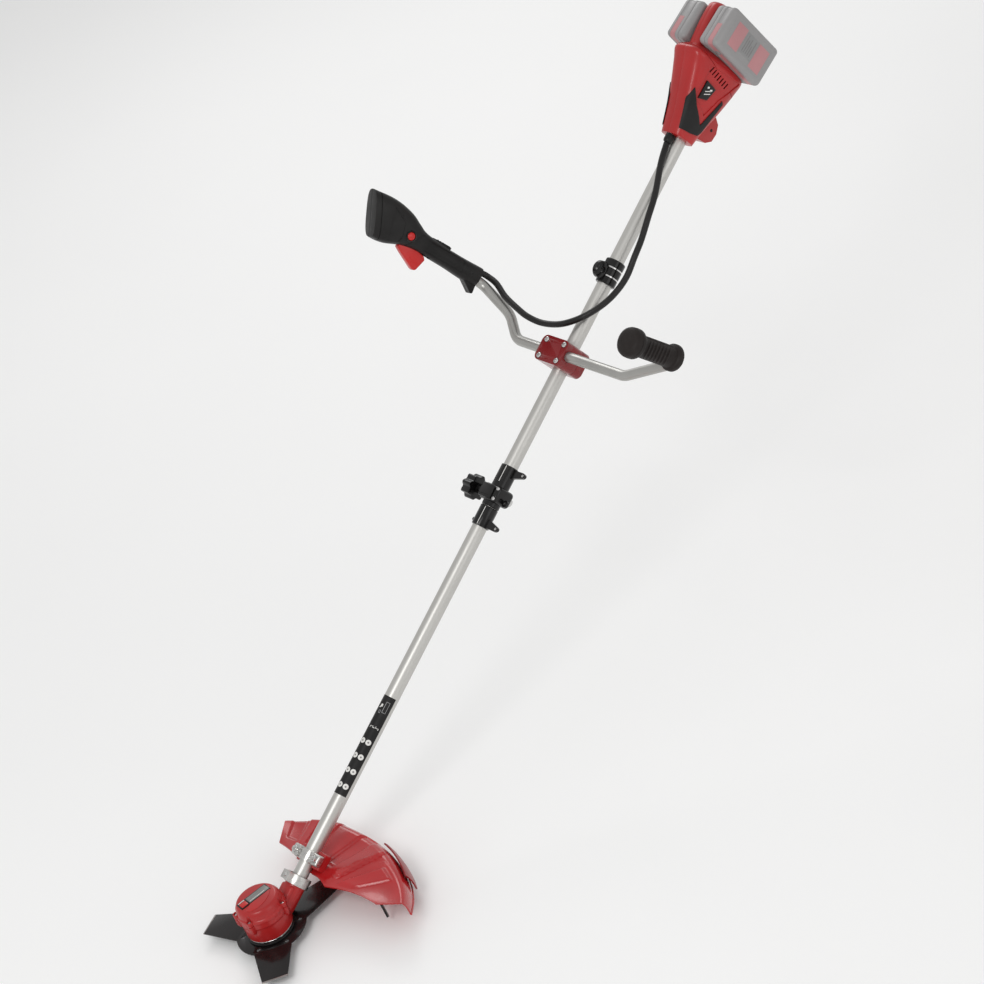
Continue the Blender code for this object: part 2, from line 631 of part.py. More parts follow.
def bar_path():
    grip_way = Vector((math.sin(LEFT_GRIP_TILT), 0, math.cos(LEFT_GRIP_TILT)))
    control_way = Vector((0, -math.sin(CONTROL_TILT), math.cos(CONTROL_TILT)))
    control_foot = CONTROL_BASE - Vector((CONTROL_BAR_SHIFT, 0, 0))
    corners = [LEFT_GRIP_BASE + grip_way * 0.1200,
               LEFT_GRIP_BASE,
               Vector((CLAMP_AT, -0.1750, BAR_HEIGHT)),
               Vector((CLAMP_AT, 0.1050, BAR_HEIGHT)),
               Vector((1.1000, 0.1420, 0.0330)),
               control_foot - control_way * 0.0180,
               control_foot + control_way * 0.0500]
    return rounded_path(corners, [0.015, 0.035, 0.035, 0.060, 0.026])


def build_clamp():
    length, width = CLAMP_SIZE
    pieces = (("clamp_base", -0.0180, -GAP / 2), ("clamp_middle", GAP / 2, BAR_HEIGHT - GAP / 2),
              ("clamp_cap", BAR_HEIGHT + GAP / 2, 0.0390))
    for name, low, high in pieces:
        size = (length, width, high - low)
        block = add_object(name, box_mesh(name, size, (0, 0, 0), 0.0030, 2), RED_METAL, shaft_frame,
                           (CLAMP_AT, 0, (low + high) / 2))
        if name != "clamp_cap":
            bore = rod_mesh(name + "_pole", Vector((1.0, 0, 0)), Vector((1.13, 0, 0)), TUBE_RADIUS + GAP, 32)
            cut(block, bore)
        if name != "clamp_base":
            start = Vector((CLAMP_AT, -0.06, BAR_HEIGHT))
            bore = rod_mesh(name + "_bar", start, start + Vector((0, 0.12, 0)), BAR_RADIUS + GAP)
            cut(block, bore)
        for index, (along, across) in enumerate(screw_places()):
            hole = turned_mesh("%s_hole_%d" % (name, index), disc_profile(0.0022 + GAP, -0.03, 0.05), 12)
            cut(block, hole, location=(along, across, 0))
    for index, (along, across) in enumerate(screw_places()):
        top = 0.0390 + GAP
        add_turned("clamp_screw_%d" % (index + 1),
                   [(0, -0.0165), (0.0022, -0.0165), (0.0022, top), (0.0044, top),
                    (0.0044, top + 0.0014), (0.0026, top + 0.0028), (0, top + 0.0028)],
                   STEEL, 16, shaft_frame, (along, across, 0))


def screw_places():
    along, across = CLAMP_SCREWS
    return [(CLAMP_AT + i * along, j * across) for i in (-1, 1) for j in (-1, 1)]


def build_left_grip():
    profile = [(0, 0.0180), (0.0215, 0.0180), (0.0225, 0.0200), (0.0225, 0.0270), (0.0180, 0.0300)]
    ribs = 9
    first = 0.0330
    pitch = 0.0080
    for rib in range(ribs):
        start = first + rib * pitch
        profile += [(0.0180, start), (0.0192, start + 0.0015), (0.0192, start + 0.0045)]
    profile += [(0.0180, 0.1060), (0.0240, 0.1090), (0.0250, 0.1110), (0.0250, 0.1240), (0.0225, 0.1290),
                (0.0120, 0.1315), (0, 0.1320)]
    grip = add_turned("left_grip", profile, RUBBER, 16, left_grip_frame)
    cut(grip, turned_mesh("grip_bore", disc_profile(BAR_RADIUS + GAP, 0.0, 0.1210), 16))


# Sections of the control grip from its base up: at, front, back, half width, power
CONTROL_SECTIONS = [(-0.0030, -0.0165, 0.0175, 0.0160, 2.6), (0.0060, -0.0165, 0.0190, 0.0165, 2.6),
                    (0.0300, -0.0155, 0.0185, 0.0165, 2.4), (0.0600, -0.0153, 0.0172, 0.0165, 2.3),
                    (0.0950, -0.0170, 0.0172, 0.0165, 2.3), (0.1200, -0.0195, 0.0180, 0.0175, 2.4),
                    (0.1360, -0.0260, 0.0195, 0.0190, 2.5), (0.1560, -0.0350, 0.0240, 0.0205, 2.7),
                    (0.1800, -0.0400, 0.0350, 0.0220, 3.0), (0.2000, -0.0410, 0.0380, 0.0225, 3.2),
                    (0.2160, -0.0395, 0.0330, 0.0220, 3.2), (0.2310, -0.0355, 0.0170, 0.0190, 3.0),
                    (0.2360, -0.0310, 0.0050, 0.0150, 2.6)]


def upright_loft(name, sections, grow=0.0):
    """A loft whose rows run up local Z, with front towards local -X."""
    flipped = []
    for at, back, front, half_width, power in sections:
        flipped.append((at, -front, -back, half_width, power))
    mesh = loft_mesh(name, flipped, grow)
    # swap so that the row direction is Z and the section's height is X
    mesh.transform(Matrix(((0, 0, 1, 0), (0, -1, 0, 0), (1, 0, 0, 0), (0, 0, 0, 1))))
    return mesh


def build_control_grip():
    for name, side in (("control_grip_outer", 1), ("control_grip_inner", -1)):
        shell = add_object(name, upright_loft(name, CONTROL_SECTIONS), BLACK, control_frame)
        spike = side_prism_mesh(name + "_spike", [(-0.0120, 0.0300), (-0.0320, -0.0020), (-0.0300, -0.0045),
                                                  (-0.0140, -0.0030)], -0.0090, 0.0090)
        join(shell, spike)
        cut(shell, upright_loft(name + "_hollow", CONTROL_SECTIONS[2:], -SHELL_WALL))
        shift = Vector((-CONTROL_BAR_SHIFT, 0, 0))
        cut(shell, rod_mesh(name + "_bar", shift + Vector((0, 0, -0.02)), shift + Vector((0, 0, 0.056)),
                            BAR_RADIUS + GAP))
        cable_at = Vector((0.0095, 0, 0))
        cut(shell, rod_mesh(name + "_cable", cable_at + Vector((0, 0, -0.02)),
                            cable_at + Vector((0, 0, 0.008)), CABLE_RADIUS + 0.0006, 16))
        cut(shell, box_mesh(name + "_trigger_slot", (0.040, 0.0152, 0.066), (-0.033, 0, 0.1260)))
        cut(shell, box_mesh(name + "_lever_slot", (0.020, 0.0136, 0.060), (0.022, 0, 0.0880)))
        cut(shell, turned_mesh(name + "_button_hole", disc_profile(0.0075, -0.04, -0.010), 20),
            location=(-0.0020, 0, 0.1470), rotation=ACROSS_POLE)
        cut(shell, box_mesh(name + "_half", (0.2, 0.1, 0.5), (0, -side * 0.05 + side * GAP / 2, 0.1)))


def build_controls():
    pivot = Vector((-0.0150, 0, 0.1520))
    outline = [(-0.0035, 0.0035), (-0.0120, 0.0030), (-0.0330, -0.0400), (-0.0300, -0.0455),
               (-0.0085, -0.0520), (-0.0035, -0.0480), (0.0020, -0.0200), (0.0035, 0.0000)]
    add_object("trigger", side_prism_mesh("trigger", outline, -0.0070, 0.0070), RED, control_frame, pivot)
    lever_pivot = Vector((0.0120, 0, 0.1140))
    lever = [(-0.0030, 0.0030), (0.0030, 0.0030), (0.0060, -0.0100), (0.0075, -0.0470), (0.0055, -0.0510),
             (0.0010, -0.0490), (-0.0030, -0.0100)]
    add_object("lock_off_lever", side_prism_mesh("lever", lever, -0.0062, 0.0062), BLACK, control_frame,
               lever_pivot)
    add_turned("start_button", disc_profile(0.0070, -0.0215, -0.0125, 0.0010), RED, 20, control_frame,
               (-0.0020, 0, 0.1470), ACROSS_POLE)
    add_object("control_switch", box_mesh("switch", (0.0240, 0.0120, 0.0200), (0, 0, 0), 0.0010), BLACK,
               control_frame, (0.0020, 0, 0.1850))


# ---- cable, hanger ---------------------------------------------------------
CABLE_POINTS = [(1.4300, -0.0100, 0.0215), (1.3770, -0.0270, 0.0165), (1.3350, -0.0370, 0.0155),
                (1.2960, -0.0430, 0.0115), (1.2640, -0.0450, 0.0090), (1.2300, -0.0450, 0.0045),
                (1.1990, -0.0420, 0.0070), (1.1700, -0.0350, 0.0140), (1.1410, -0.0200, 0.0235),
                (1.1210, 0.0060, 0.0260), (1.1100, 0.0340, 0.0260), (1.1040, 0.0660, 0.0300),
                (1.1050, 0.0940, 0.0385), (1.1110, 0.1180, 0.0450), (1.1228, 0.1535, 0.0520),
                (1.1385, 0.1840, 0.0570), (1.1443, 0.2060, 0.0630)]


def cable_end():
    control_way = Vector((0, -math.sin(CONTROL_TILT), math.cos(CONTROL_TILT)))
    return CONTROL_BASE + Vector((0.0095, 0, 0)) - control_way * 0.0058


def smooth_route(points, steps=4):
    """Points on a smooth curve that passes through every given point."""
    padded = [points[0] * 2 - points[1]] + points + [points[-1] * 2 - points[-2]]
    route = []
    for i in range(1, len(padded) - 2):
        before, start, end, after = padded[i - 1:i + 3]
        for k in range(steps):
            t = k / steps
            route.append(0.5 * (2 * start + (end - before) * t
                                + (2 * before - 5 * start + 4 * end - after) * t ** 2
                                + (3 * start - before - 3 * end + after) * t ** 3))
    route.append(points[-1])
    return route


def build_cable():
    points = [CABLE_START] + [Vector(p) for p in CABLE_POINTS] + [cable_end()]
    route = smooth_route(points, 3)
    curve = bpy.data.curves.new("control_cable", 'CURVE')
    curve.dimensions = '3D'
    curve.bevel_depth = CABLE_RADIUS
    curve.bevel_resolution = 1
    curve.use_fill_caps = True
    spline = curve.splines.new('POLY')
    spline.points.add(len(route) - 1)
    for point, place in zip(spline.points, route):
        point.co = (*place, 1.0)
    add_object("control_cable", curve, RUBBER, shaft_frame)
    add_turned("cable_gland", ring_profile(CABLE_RADIUS + GAP, 0.0085, 0.0, 0.0150, 0.001), BLACK, 24,
               shaft_frame, CABLE_START + Vector((0.0015, 0, 0)), ALONG_POLE)


def build_hanger():
    start, end = HANGER
    middle = (start + end) / 2
    hanger = add_turned("hanger", disc_profile(0.0175, 0.0, end - start, 0.0012), BLACK, 24, shaft_frame,
                        (start, 0, 0), ALONG_POLE)
    for index, at in enumerate((start + 0.0140, end - 0.0140)):
        groove = turned_mesh("hanger_groove_%d" % index, ring_profile(0.0160, 0.0300, -0.0016, 0.0016), 24)
        cut(hanger, groove, location=(at, 0, 0), rotation=ALONG_POLE)
    lug = turned_mesh("hanger_lug", disc_profile(0.0130, -0.0060, 0.0060, 0.0012), 20)
    join(hanger, lug, location=(middle - 0.004, 0.0, 0.0215), rotation=ACROSS_POLE)
    eye = turned_mesh("hanger_eye", disc_profile(0.0055, -0.0200, 0.0200), 16)
    cut(hanger, eye, location=(middle - 0.004, 0.0, 0.0255), rotation=ACROSS_POLE)
    cut(hanger, rod_mesh("hanger_bore", Vector((1.18, 0, 0)), Vector((1.28, 0, 0)), TUBE_RADIUS + GAP))


# ---- rear housing ----------------------------------------------------------
# Sections up the pole: at, low, high, half width, power
HOUSING_SECTIONS = [(HOUSING_START, -0.0180, 0.0305, 0.0260, 3.2), (1.5050, -0.0220, 0.0370, 0.0290, 3.2),
                    (1.5350, -0.0300, 0.0470, 0.0320, 3.4), (1.5700, -0.0390, 0.0620, 0.0360, 3.6),
                    (1.6000, -0.0450, 0.0760, 0.0390, 3.8), (1.6180, -0.0480, 0.0850, 0.0400, 3.8),
                    (1.6290, -0.0460, 0.0760, 0.0330, 3.2), (1.6340, -0.0430, 0.0700, 0.0260, 3.0)]
WALL_SECTIONS = [(1.5950, -0.0480, 0.0680, 0.0160, 5.0), (1.6600, -0.0520, 0.0745, 0.0158, 5.0),
                 (1.7000, -0.0530, 0.0740, 0.0155, 5.0), (1.7110, -0.0510, 0.0690, 0.0140, 4.0),
                 (1.7145, -0.0470, 0.0600, 0.0105, 3.5)]
LOBE_OUTLINE = [(1.5000, -0.0150), (1.5480, -0.0250), (1.5500, -0.0380), (1.5420, -0.0500),
                (1.5270, -0.0560), (1.5120, -0.0540), (1.5030, -0.0420)]
TRIM_OUTLINE = [(1.5630, 0.0500), (1.4930, 0.0460), (1.5000, -0.0060), (1.5680, -0.0200), (1.5720, -0.0140),
                (1.5160, 0.0010), (1.5400, 0.0300)]
BADGE_OUTLINE = [(1.5838, 0.0378), (1.5801, 0.0121), (1.5568, 0.0172), (1.5517, 0.0347)]


def housing_bulk(name, grow, material=None):
    bulk = add_object(name, loft_mesh(name, HOUSING_SECTIONS, grow), material, shaft_frame)
    return bulk


def build_housing():
    for name, side in (("rear_housing_right", 1), ("rear_housing_left", -1)):
        shell = housing_bulk(name, 0.0, RED)
        join(shell, loft_mesh(name + "_wall", WALL_SECTIONS))
        join(shell, side_prism_mesh(name + "_lobe", LOBE_OUTLINE, -0.0150, 0.0150))
        cut(shell, loft_mesh(name + "_hollow", HOUSING_SECTIONS[:-2], -SHELL_WALL))
        cut(shell, loft_mesh(name + "_wall_hollow", WALL_SECTIONS[:-1], -SHELL_WALL))
        cut(shell, rod_mesh(name + "_pole", Vector((1.45, 0, 0)), Vector((1.50, 0, 0)), TUBE_RADIUS + GAP, 32))
        gland_start = CABLE_START + Vector((0.0, 0, 0))
        cut(shell, rod_mesh(name + "_gland", gland_start, gland_start + Vector((0.03, 0, 0)), 0.0068, 16))
        seat_size = (0.1200, 0.0800, 0.2000)
        seat_centre = (0.0600 - GAP, side * (0.0400 + BATTERY_INNER - GAP), -0.0600)
        cut(shell, box_mesh(name + "_seat", seat_size, seat_centre), location=BATTERY_CORNER,
            rotation=(0, BATTERY_TILT, 0))
        slots = 7
        for slot in range(slots):
            height = 0.0450 - slot * 0.0085
            vent = box_mesh("%s_vent_%d" % (name, slot), (0.0150, 0.0300, 0.0030),
                            (1.6020 - slot * 0.0012, side * 0.0400, height))
            cut(shell, vent)
        cut(shell, box_mesh(name + "_half", (0.6, 0.2, 0.5), (1.6, -side * 0.1 + side * GAP / 2, 0)))
        add_patch("side_trim", side, TRIM_OUTLINE, 0.0016, BLACK)
        add_patch("badge", side, BADGE_OUTLINE, 0.0012, BLACK)
    add_object("controller_board", box_mesh("board", (0.0480, 0.0030, 0.0700), (0, 0, 0)), GREEN,
               shaft_frame, (1.5760, 0, 0.0150))


def add_patch(kind, side, outline, thick, material):
    """A thin plate of the given outline that lies on one side of the housing."""
    name = "%s_%s" % (kind, "right" if side > 0 else "left")
    patch = housing_bulk(name, thick, material)
    keep(patch, side_prism_mesh(name + "_outline", outline, side * 0.0100, side * 0.0800))
    cut(patch, loft_mesh(name + "_inside", HOUSING_SECTIONS, GAP))


def build_batteries():
    along, thick, length = BATTERY_SIZE
    for name, side in (("right", 1), ("left", -1)):
        frame = make_empty("battery_frame_" + name, BATTERY_CORNER, (0, BATTERY_TILT, 0), shaft_frame)
        centre = (along / 2, side * (BATTERY_INNER + thick / 2), -length / 2)
        pack = add_object("battery_" + name, box_mesh("pack_" + name, (along, thick, length), (0, 0, 0),
                                                      0.0060, 3), GREY, frame, centre)
        seat = (along / 2 - 0.0001, side * (BATTERY_INNER + thick - 0.0165), -length)
        cut(pack, box_mesh("latch_seat_" + name, (0.0300, 0.0170, 0.0160), seat))
        add_object("battery_latch_" + name, box_mesh("latch_" + name, (0.0280, 0.0120, 0.0080), (0, 0, 0),
                                                     0.0010), RED, frame,
                   (along / 2, side * (BATTERY_INNER + thick - 0.0165), -length + 0.0033))


build_blade_stack()
build_motor()
build_guard()
build_poles()
build_coupling()
add_object("handlebar", pipe_mesh("handlebar", bar_path(), BAR_RADIUS, BAR_RADIUS - 0.0015), ALUMINIUM,
           shaft_frame)
build_clamp()
build_left_grip()
build_control_grip()
build_controls()
build_cable()
build_hanger()
build_housing()
build_batteries()
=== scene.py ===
"""Looks of a string trimmer with two battery packs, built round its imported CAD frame.

Metres, +Z up, in the CAD's own frame.  Pieces on the pole are made in shaft space: local X runs
up the pole, local Y is the user's right and local Z is square to the pole.
"""
import math

import bmesh
import bpy
from mathutils import Matrix, Vector


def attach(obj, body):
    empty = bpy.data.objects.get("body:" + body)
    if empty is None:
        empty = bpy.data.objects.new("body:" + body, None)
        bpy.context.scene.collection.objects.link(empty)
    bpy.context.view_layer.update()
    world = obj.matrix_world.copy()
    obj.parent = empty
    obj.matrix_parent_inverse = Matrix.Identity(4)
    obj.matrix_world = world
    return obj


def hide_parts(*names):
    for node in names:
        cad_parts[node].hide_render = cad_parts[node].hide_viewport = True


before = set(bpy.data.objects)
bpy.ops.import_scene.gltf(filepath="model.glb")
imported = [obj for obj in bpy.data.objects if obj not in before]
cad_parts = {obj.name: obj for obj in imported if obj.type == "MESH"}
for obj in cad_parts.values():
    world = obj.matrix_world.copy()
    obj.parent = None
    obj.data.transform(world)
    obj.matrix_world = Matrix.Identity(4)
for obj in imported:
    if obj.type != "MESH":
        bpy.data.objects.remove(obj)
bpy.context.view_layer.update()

GAP = 0.0003

# ---- driving sizes, in shaft space where they lie along the pole --------------
POLE_ANGLE = math.radians(29.85)
POLE_BASE_Z = 0.0136
TUBE_RADIUS = 0.013
LOWER_TUBE = (0.056, 0.806)
UPPER_TUBE = (0.81, 1.545)
BLADE_RADIUS = 0.1275
BLADE_ROOT = 0.0616
BLADE_BORE = 0.0127
BLADE_FACES = (0.0152, 0.0168)
TOOTH_AT = math.radians(115.2)
TOOTH_HALF = math.radians(10.0)
DRUM_RADIUS = 0.0405
RIM_STEP = 0.0018
DRUM_BOTTOM = 0.025
DRUM_SPLIT = 0.064
DRUM_TOP = 0.087
BOSS_ANGLES = [math.radians(a) for a in (55.0, 152.0, 208.0, 305.0)]
NECK = (0.03, 0.0975)
NECK_RADIUS = 0.0178
GUARD_THICK = 0.0026
GUARD_START = math.radians(41.0)
GUARD_END = math.radians(-58.0)
GUARD_DECK_Z = 0.063
GUARD_SKIRT_Z = 0.013
GUARD_CLAMP_AT = 0.1345
GUARD_BOLT_SIDE = 0.0262
CUTTER_AT = (0.196, math.radians(-43))
CUTTER_TOP = 0.054
CUTTER_TILT = -34
LABEL_AT = 0.3375
LABEL_SIZE = (0.181, 0.039)
LABEL_FIRST_ROW = 0.2631
LABEL_ROW_STEP = 0.0271
CLAMP_AT = 1.0637
CLAMP_SIZE = (0.046, 0.066)
CLAMP_SCREWS = (0.015, 0.0225)
BAR_RADIUS = 0.009
BAR_HEIGHT = 0.0265
LEFT_GRIP_BASE = Vector((1.117, -0.28, BAR_HEIGHT))
LEFT_GRIP_TILT = math.radians(-11.0)
CONTROL_BASE = Vector((1.135, 0.215, 0.0795))
CONTROL_TILT = math.radians(-16.3)
CONTROL_BAR_SHIFT = 0.006
CONTROL_CABLE_SHIFT = 0.0095
BUTTON_AT = (-0.002, 0, 0.147)
TRIGGER_PIVOT = (-0.015, 0, 0.152)
LEVER_PIVOT = (0.012, 0, 0.114)
COUPLING_MIDDLE = 0.807
SLEEVE_RADIUS = 0.0156
LOWER_SLEEVE_START = 0.748
UPPER_SLEEVE_START = 0.7845
LOWER_EAR_AT = 0.754
UPPER_EAR_AT = 0.853
EAR_HOLE = -0.0395
HANGER = (1.206, 1.25)
HANGER_SLOT = 0.014
HOUSING_START = 1.483
SHELL_WALL = 0.0026
BATTERY_CORNER = Vector((1.6325, 0.0, 0.0835))
BATTERY_SIZE = (0.0755, 0.047, 0.133)
BATTERY_INNER = 0.017
BATTERY_TILT = math.radians(5.0)
CABLE_RADIUS = 0.0055
CABLE_START = Vector((1.466, 0.0, 0.0215))

SHAFT = Matrix.Translation((0, 0, POLE_BASE_Z)) @ Matrix.Rotation(-POLE_ANGLE, 4, 'Y')
CONTROL = SHAFT @ Matrix.Translation(CONTROL_BASE) @ Matrix.Rotation(CONTROL_TILT, 4, 'X')
LEFT_GRIP = SHAFT @ Matrix.Translation(LEFT_GRIP_BASE) @ Matrix.Rotation(LEFT_GRIP_TILT, 4, 'Y')
BATTERY = SHAFT @ Matrix.Translation(BATTERY_CORNER) @ Matrix.Rotation(BATTERY_TILT, 4, 'Y')
ALONG_POLE = Matrix.Rotation(math.pi / 2, 4, 'Y')
ACROSS_POLE = Matrix.Rotation(-math.pi / 2, 4, 'X')


def move(x, y, z):
    return Matrix.Translation((x, y, z))


def turn(degrees, axis):
    return Matrix.Rotation(math.radians(degrees), 4, axis)


# ---- camera ------------------------------------------------------------------
def build_camera():
    data = bpy.data.cameras.new("camera")
    data.lens = 111.68
    data.sensor_width = 36.0
    data.clip_start = 0.1
    data.clip_end = 60.0
    camera = bpy.data.objects.new("camera", data)
    bpy.context.scene.collection.objects.link(camera)
    right = Vector((0.71363, -0.61992, -0.32622))
    up = Vector((0.57343, 0.24948, 0.78034))
    back = Vector((-0.40237, -0.74395, 0.53352))
    turned = Matrix((right, up, back)).transposed().to_4x4()
    camera.matrix_world = Matrix.Translation((-1.3511, -3.7837, 3.1392)) @ turned
    bpy.context.scene.camera = camera


build_camera()


# ---- materials ---------------------------------------------------------------
def surface(name, colour, roughness, metallic=0.0, coat=0.0, mottle=0.06, mottle_scale=14.0,
        grain=0.05, grain_scale=900.0, spread=0.06, stretch=(1.0, 1.0, 1.0), specular=0.5, dust=0.0,
        wave=0.0, wave_scale=6.0):
    """A procedural surface: colour that drifts, roughness that varies, fine grain and slow waves.

    mottle is the share of colour drift, spread the roughness drift, and grain the depth of the
    fine bump.  stretch draws the noise out along an axis, as on drawn or brushed metal.
    """
    material = bpy.data.materials.new(name)
    material.use_nodes = True
    nodes = material.node_tree.nodes
    links = material.node_tree.links
    shader = nodes["Principled BSDF"]
    shader.inputs["Metallic"].default_value = metallic
    shader.inputs["Coat Weight"].default_value = coat
    shader.inputs["Coat Roughness"].default_value = 0.08
    shader.inputs["Specular IOR Level"].default_value = specular

    where = nodes.new("ShaderNodeTexCoord")
    drawn = nodes.new("ShaderNodeMapping")
    drawn.inputs["Scale"].default_value = stretch
    links.new(where.outputs["Object"], drawn.inputs["Vector"])

    def noise(scale, detail, source):
        texture = nodes.new("ShaderNodeTexNoise")
        texture.inputs["Scale"].default_value = scale
        texture.inputs["Detail"].default_value = detail
        links.new(source, texture.inputs["Vector"])
        return texture.outputs["Fac"]

    def remap(value, low, high, start=0.3, end=0.7):
        change = nodes.new("ShaderNodeMapRange")
        change.inputs["From Min"].default_value = start
        change.inputs["From Max"].default_value = end
        change.inputs["To Min"].default_value = low
        change.inputs["To Max"].default_value = high
        links.new(value, change.inputs["Value"])
        return change.outputs["Result"]

    drift = noise(mottle_scale, 5.0, drawn.outputs["Vector"])
    tones = nodes.new("ShaderNodeMix")
    tones.data_type = 'RGBA'
    dark = [c * (1.0 - mottle) for c in colour]
    light = [min(1.0, c * (1.0 + mottle) + 0.02 * mottle) for c in colour]
    tones.inputs["A"].default_value = (*dark, 1.0)
    tones.inputs["B"].default_value = (*light, 1.0)
    links.new(remap(drift, 0.0, 1.0), tones.inputs["Factor"])
    final = tones.outputs["Result"]
    if dust > 0.0:
        specks = noise(mottle_scale * 9.0, 3.0, where.outputs["Object"])
        dusty = nodes.new("ShaderNodeMix")
        dusty.data_type = 'RGBA'
        dusty.inputs["B"].default_value = (0.45, 0.42, 0.38, 1.0)
        links.new(final, dusty.inputs["A"])
        links.new(remap(specks, 0.0, dust, 0.52, 0.75), dusty.inputs["Factor"])
        final = dusty.outputs["Result"]
    links.new(final, shader.inputs["Base Color"])

    smear = noise(mottle_scale * 3.0, 4.0, drawn.outputs["Vector"])
    links.new(remap(smear, max(0.02, roughness - spread), roughness + spread),
        shader.inputs["Roughness"])

    normal = None
    if grain > 0.0:
        fine = noise(grain_scale, 2.0, drawn.outputs["Vector"])
        bump = nodes.new("ShaderNodeBump")
        bump.inputs["Strength"].default_value = grain
        bump.inputs["Distance"].default_value = 0.0004
        links.new(fine, bump.inputs["Height"])
        normal = bump.outputs["Normal"]
    if wave > 0.0:
        slow = noise(wave_scale, 1.0, where.outputs["Object"])
        swell = nodes.new("ShaderNodeBump")
        swell.inputs["Strength"].default_value = wave
        swell.inputs["Distance"].default_value = 0.004
        links.new(slow, swell.inputs["Height"])
        if normal is not None:
            links.new(normal, swell.inputs["Normal"])
        normal = swell.outputs["Normal"]
    if normal is not None:
        links.new(normal, shader.inputs["Normal"])
    return material


RED = surface("red_gloss", (0.4, 0.013, 0.013), 0.34, coat=0.2, mottle=0.12, grain=0.05,
    grain_scale=1400.0, wave=0.15, wave_scale=16.0, specular=0.35)
RED_GUARD = surface("red_guard", (0.42, 0.01, 0.012), 0.24, coat=0.45, mottle=0.12, grain=0.03,
    wave=0.35, wave_scale=14.0, specular=0.35)
DARK_RED = surface("dark_red", (0.25, 0.008, 0.01), 0.38, coat=0.1, mottle=0.12, grain=0.1,
    specular=0.3)
RED_CLAMP = surface("red_lacquer", (0.2, 0.003, 0.005), 0.25, metallic=0.15, coat=0.5, mottle=0.15,
    grain=0.12, grain_scale=500.0, specular=0.3)
BLACK = surface("black_plastic", (0.0055, 0.0048, 0.0045), 0.4, mottle=0.3, grain=0.3,
    grain_scale=1500.0, dust=0.004, specular=0.28)
BLACK_GLOSS = surface("black_gloss", (0.004, 0.0034, 0.0034), 0.2, coat=0.12, mottle=0.2,
    grain=0.05, specular=0.3)
PANEL = surface("black_panel", (0.0095, 0.009, 0.009), 0.5, mottle=0.2, grain=0.45,
    grain_scale=1100.0, specular=0.25)
RUBBER = surface("grip_rubber", (0.012, 0.008, 0.0068), 0.55, mottle=0.25, grain=0.5,
    grain_scale=1300.0, dust=0.01, specular=0.25)
SHEATH = surface("cable_sheath", (0.006, 0.0052, 0.005), 0.34, mottle=0.3, grain=0.6,
    grain_scale=1700.0, dust=0.006, specular=0.35)
TUBE = surface("satin_tube", (0.56, 0.55, 0.525), 0.42, metallic=0.92, mottle=0.03,
    mottle_scale=9.0, grain=0.04, grain_scale=1500.0, spread=0.03)
BAR = surface("bar_lacquer", (0.42, 0.415, 0.395), 0.36, metallic=0.8, mottle=0.06,
    mottle_scale=25.0, grain=0.12, grain_scale=1200.0)
CAST = surface("cast_metal", (0.56, 0.55, 0.53), 0.3, metallic=1.0, mottle=0.15, mottle_scale=60.0,
    grain=0.3, grain_scale=500.0, spread=0.1)
STEEL = surface("bright_steel", (0.66, 0.65, 0.64), 0.22, metallic=1.0, mottle=0.1,
    mottle_scale=80.0, grain=0.12, grain_scale=900.0)
BLADE = surface("blade_steel", (0.007, 0.0045, 0.0045), 0.22, metallic=0.2, coat=0.25, mottle=0.4,
    mottle_scale=10.0, grain=0.1, grain_scale=600.0, wave=0.2, wave_scale=9.0, specular=0.3)
EDGE = surface("ground_edge", (0.3, 0.27, 0.26), 0.3, metallic=1.0, mottle=0.2, mottle_scale=60.0,
    grain=0.25, stretch=(1.0, 0.1, 1.0))
GREY = surface("battery_grey", (0.285, 0.278, 0.278), 0.42, coat=0.1, mottle=0.05, grain=0.3,
    grain_scale=1300.0)
GREY_DARK = surface("battery_base", (0.2, 0.19, 0.19), 0.45, mottle=0.08, grain=0.3)
PINK = surface("battery_pink", (0.47, 0.215, 0.225), 0.4, mottle=0.06, grain=0.15)
STICKER = surface("sticker_grey", (0.25, 0.25, 0.25), 0.35, mottle=0.05, grain=0.05)
LABEL_GREY = surface("label_grey", (0.2, 0.2, 0.19), 0.35, metallic=0.3, mottle=0.08, grain=0.05)
# Used for printed marks, and also for the painted highlight lines on the coupling sleeves.
WHITE = surface("white_print_and_painted_highlight", (0.74, 0.73, 0.7), 0.4, mottle=0.03, grain=0.05)
RED_CONTROL = surface("red_control", (0.5, 0.014, 0.012), 0.3, coat=0.15, mottle=0.08, grain=0.1,
    specular=0.35)
COPPER = surface("copper_wire", (0.7, 0.32, 0.16), 0.35, metallic=1.0, mottle=0.2, grain=0.3)
BOARD = surface("circuit_board", (0.02, 0.16, 0.06), 0.45, mottle=0.3, mottle_scale=120.0,
    grain=0.1)
NYLON = surface("nylon_block", (0.72, 0.7, 0.64), 0.45, mottle=0.05, grain=0.15)
IRON = surface("core_iron", (0.22, 0.22, 0.23), 0.45, metallic=0.9, mottle=0.2, grain=0.5,
    stretch=(1.0, 1.0, 14.0))


# ---- mesh makers ---------------------------------------------------------------
def finished(maker):
    bmesh.ops.recalc_face_normals(maker, faces=maker.faces)
    mesh = bpy.data.meshes.new("mesh")
    maker.to_mesh(mesh)
    maker.free()
    return mesh


def skin(maker, rings, closed=True):
    for lower, upper in zip(rings, rings[1:]):
        count = len(lower)
        for i in range(count if closed else count - 1):
            j = (i + 1) % count
            maker.faces.new((lower[i], lower[j], upper[j], upper[i]))


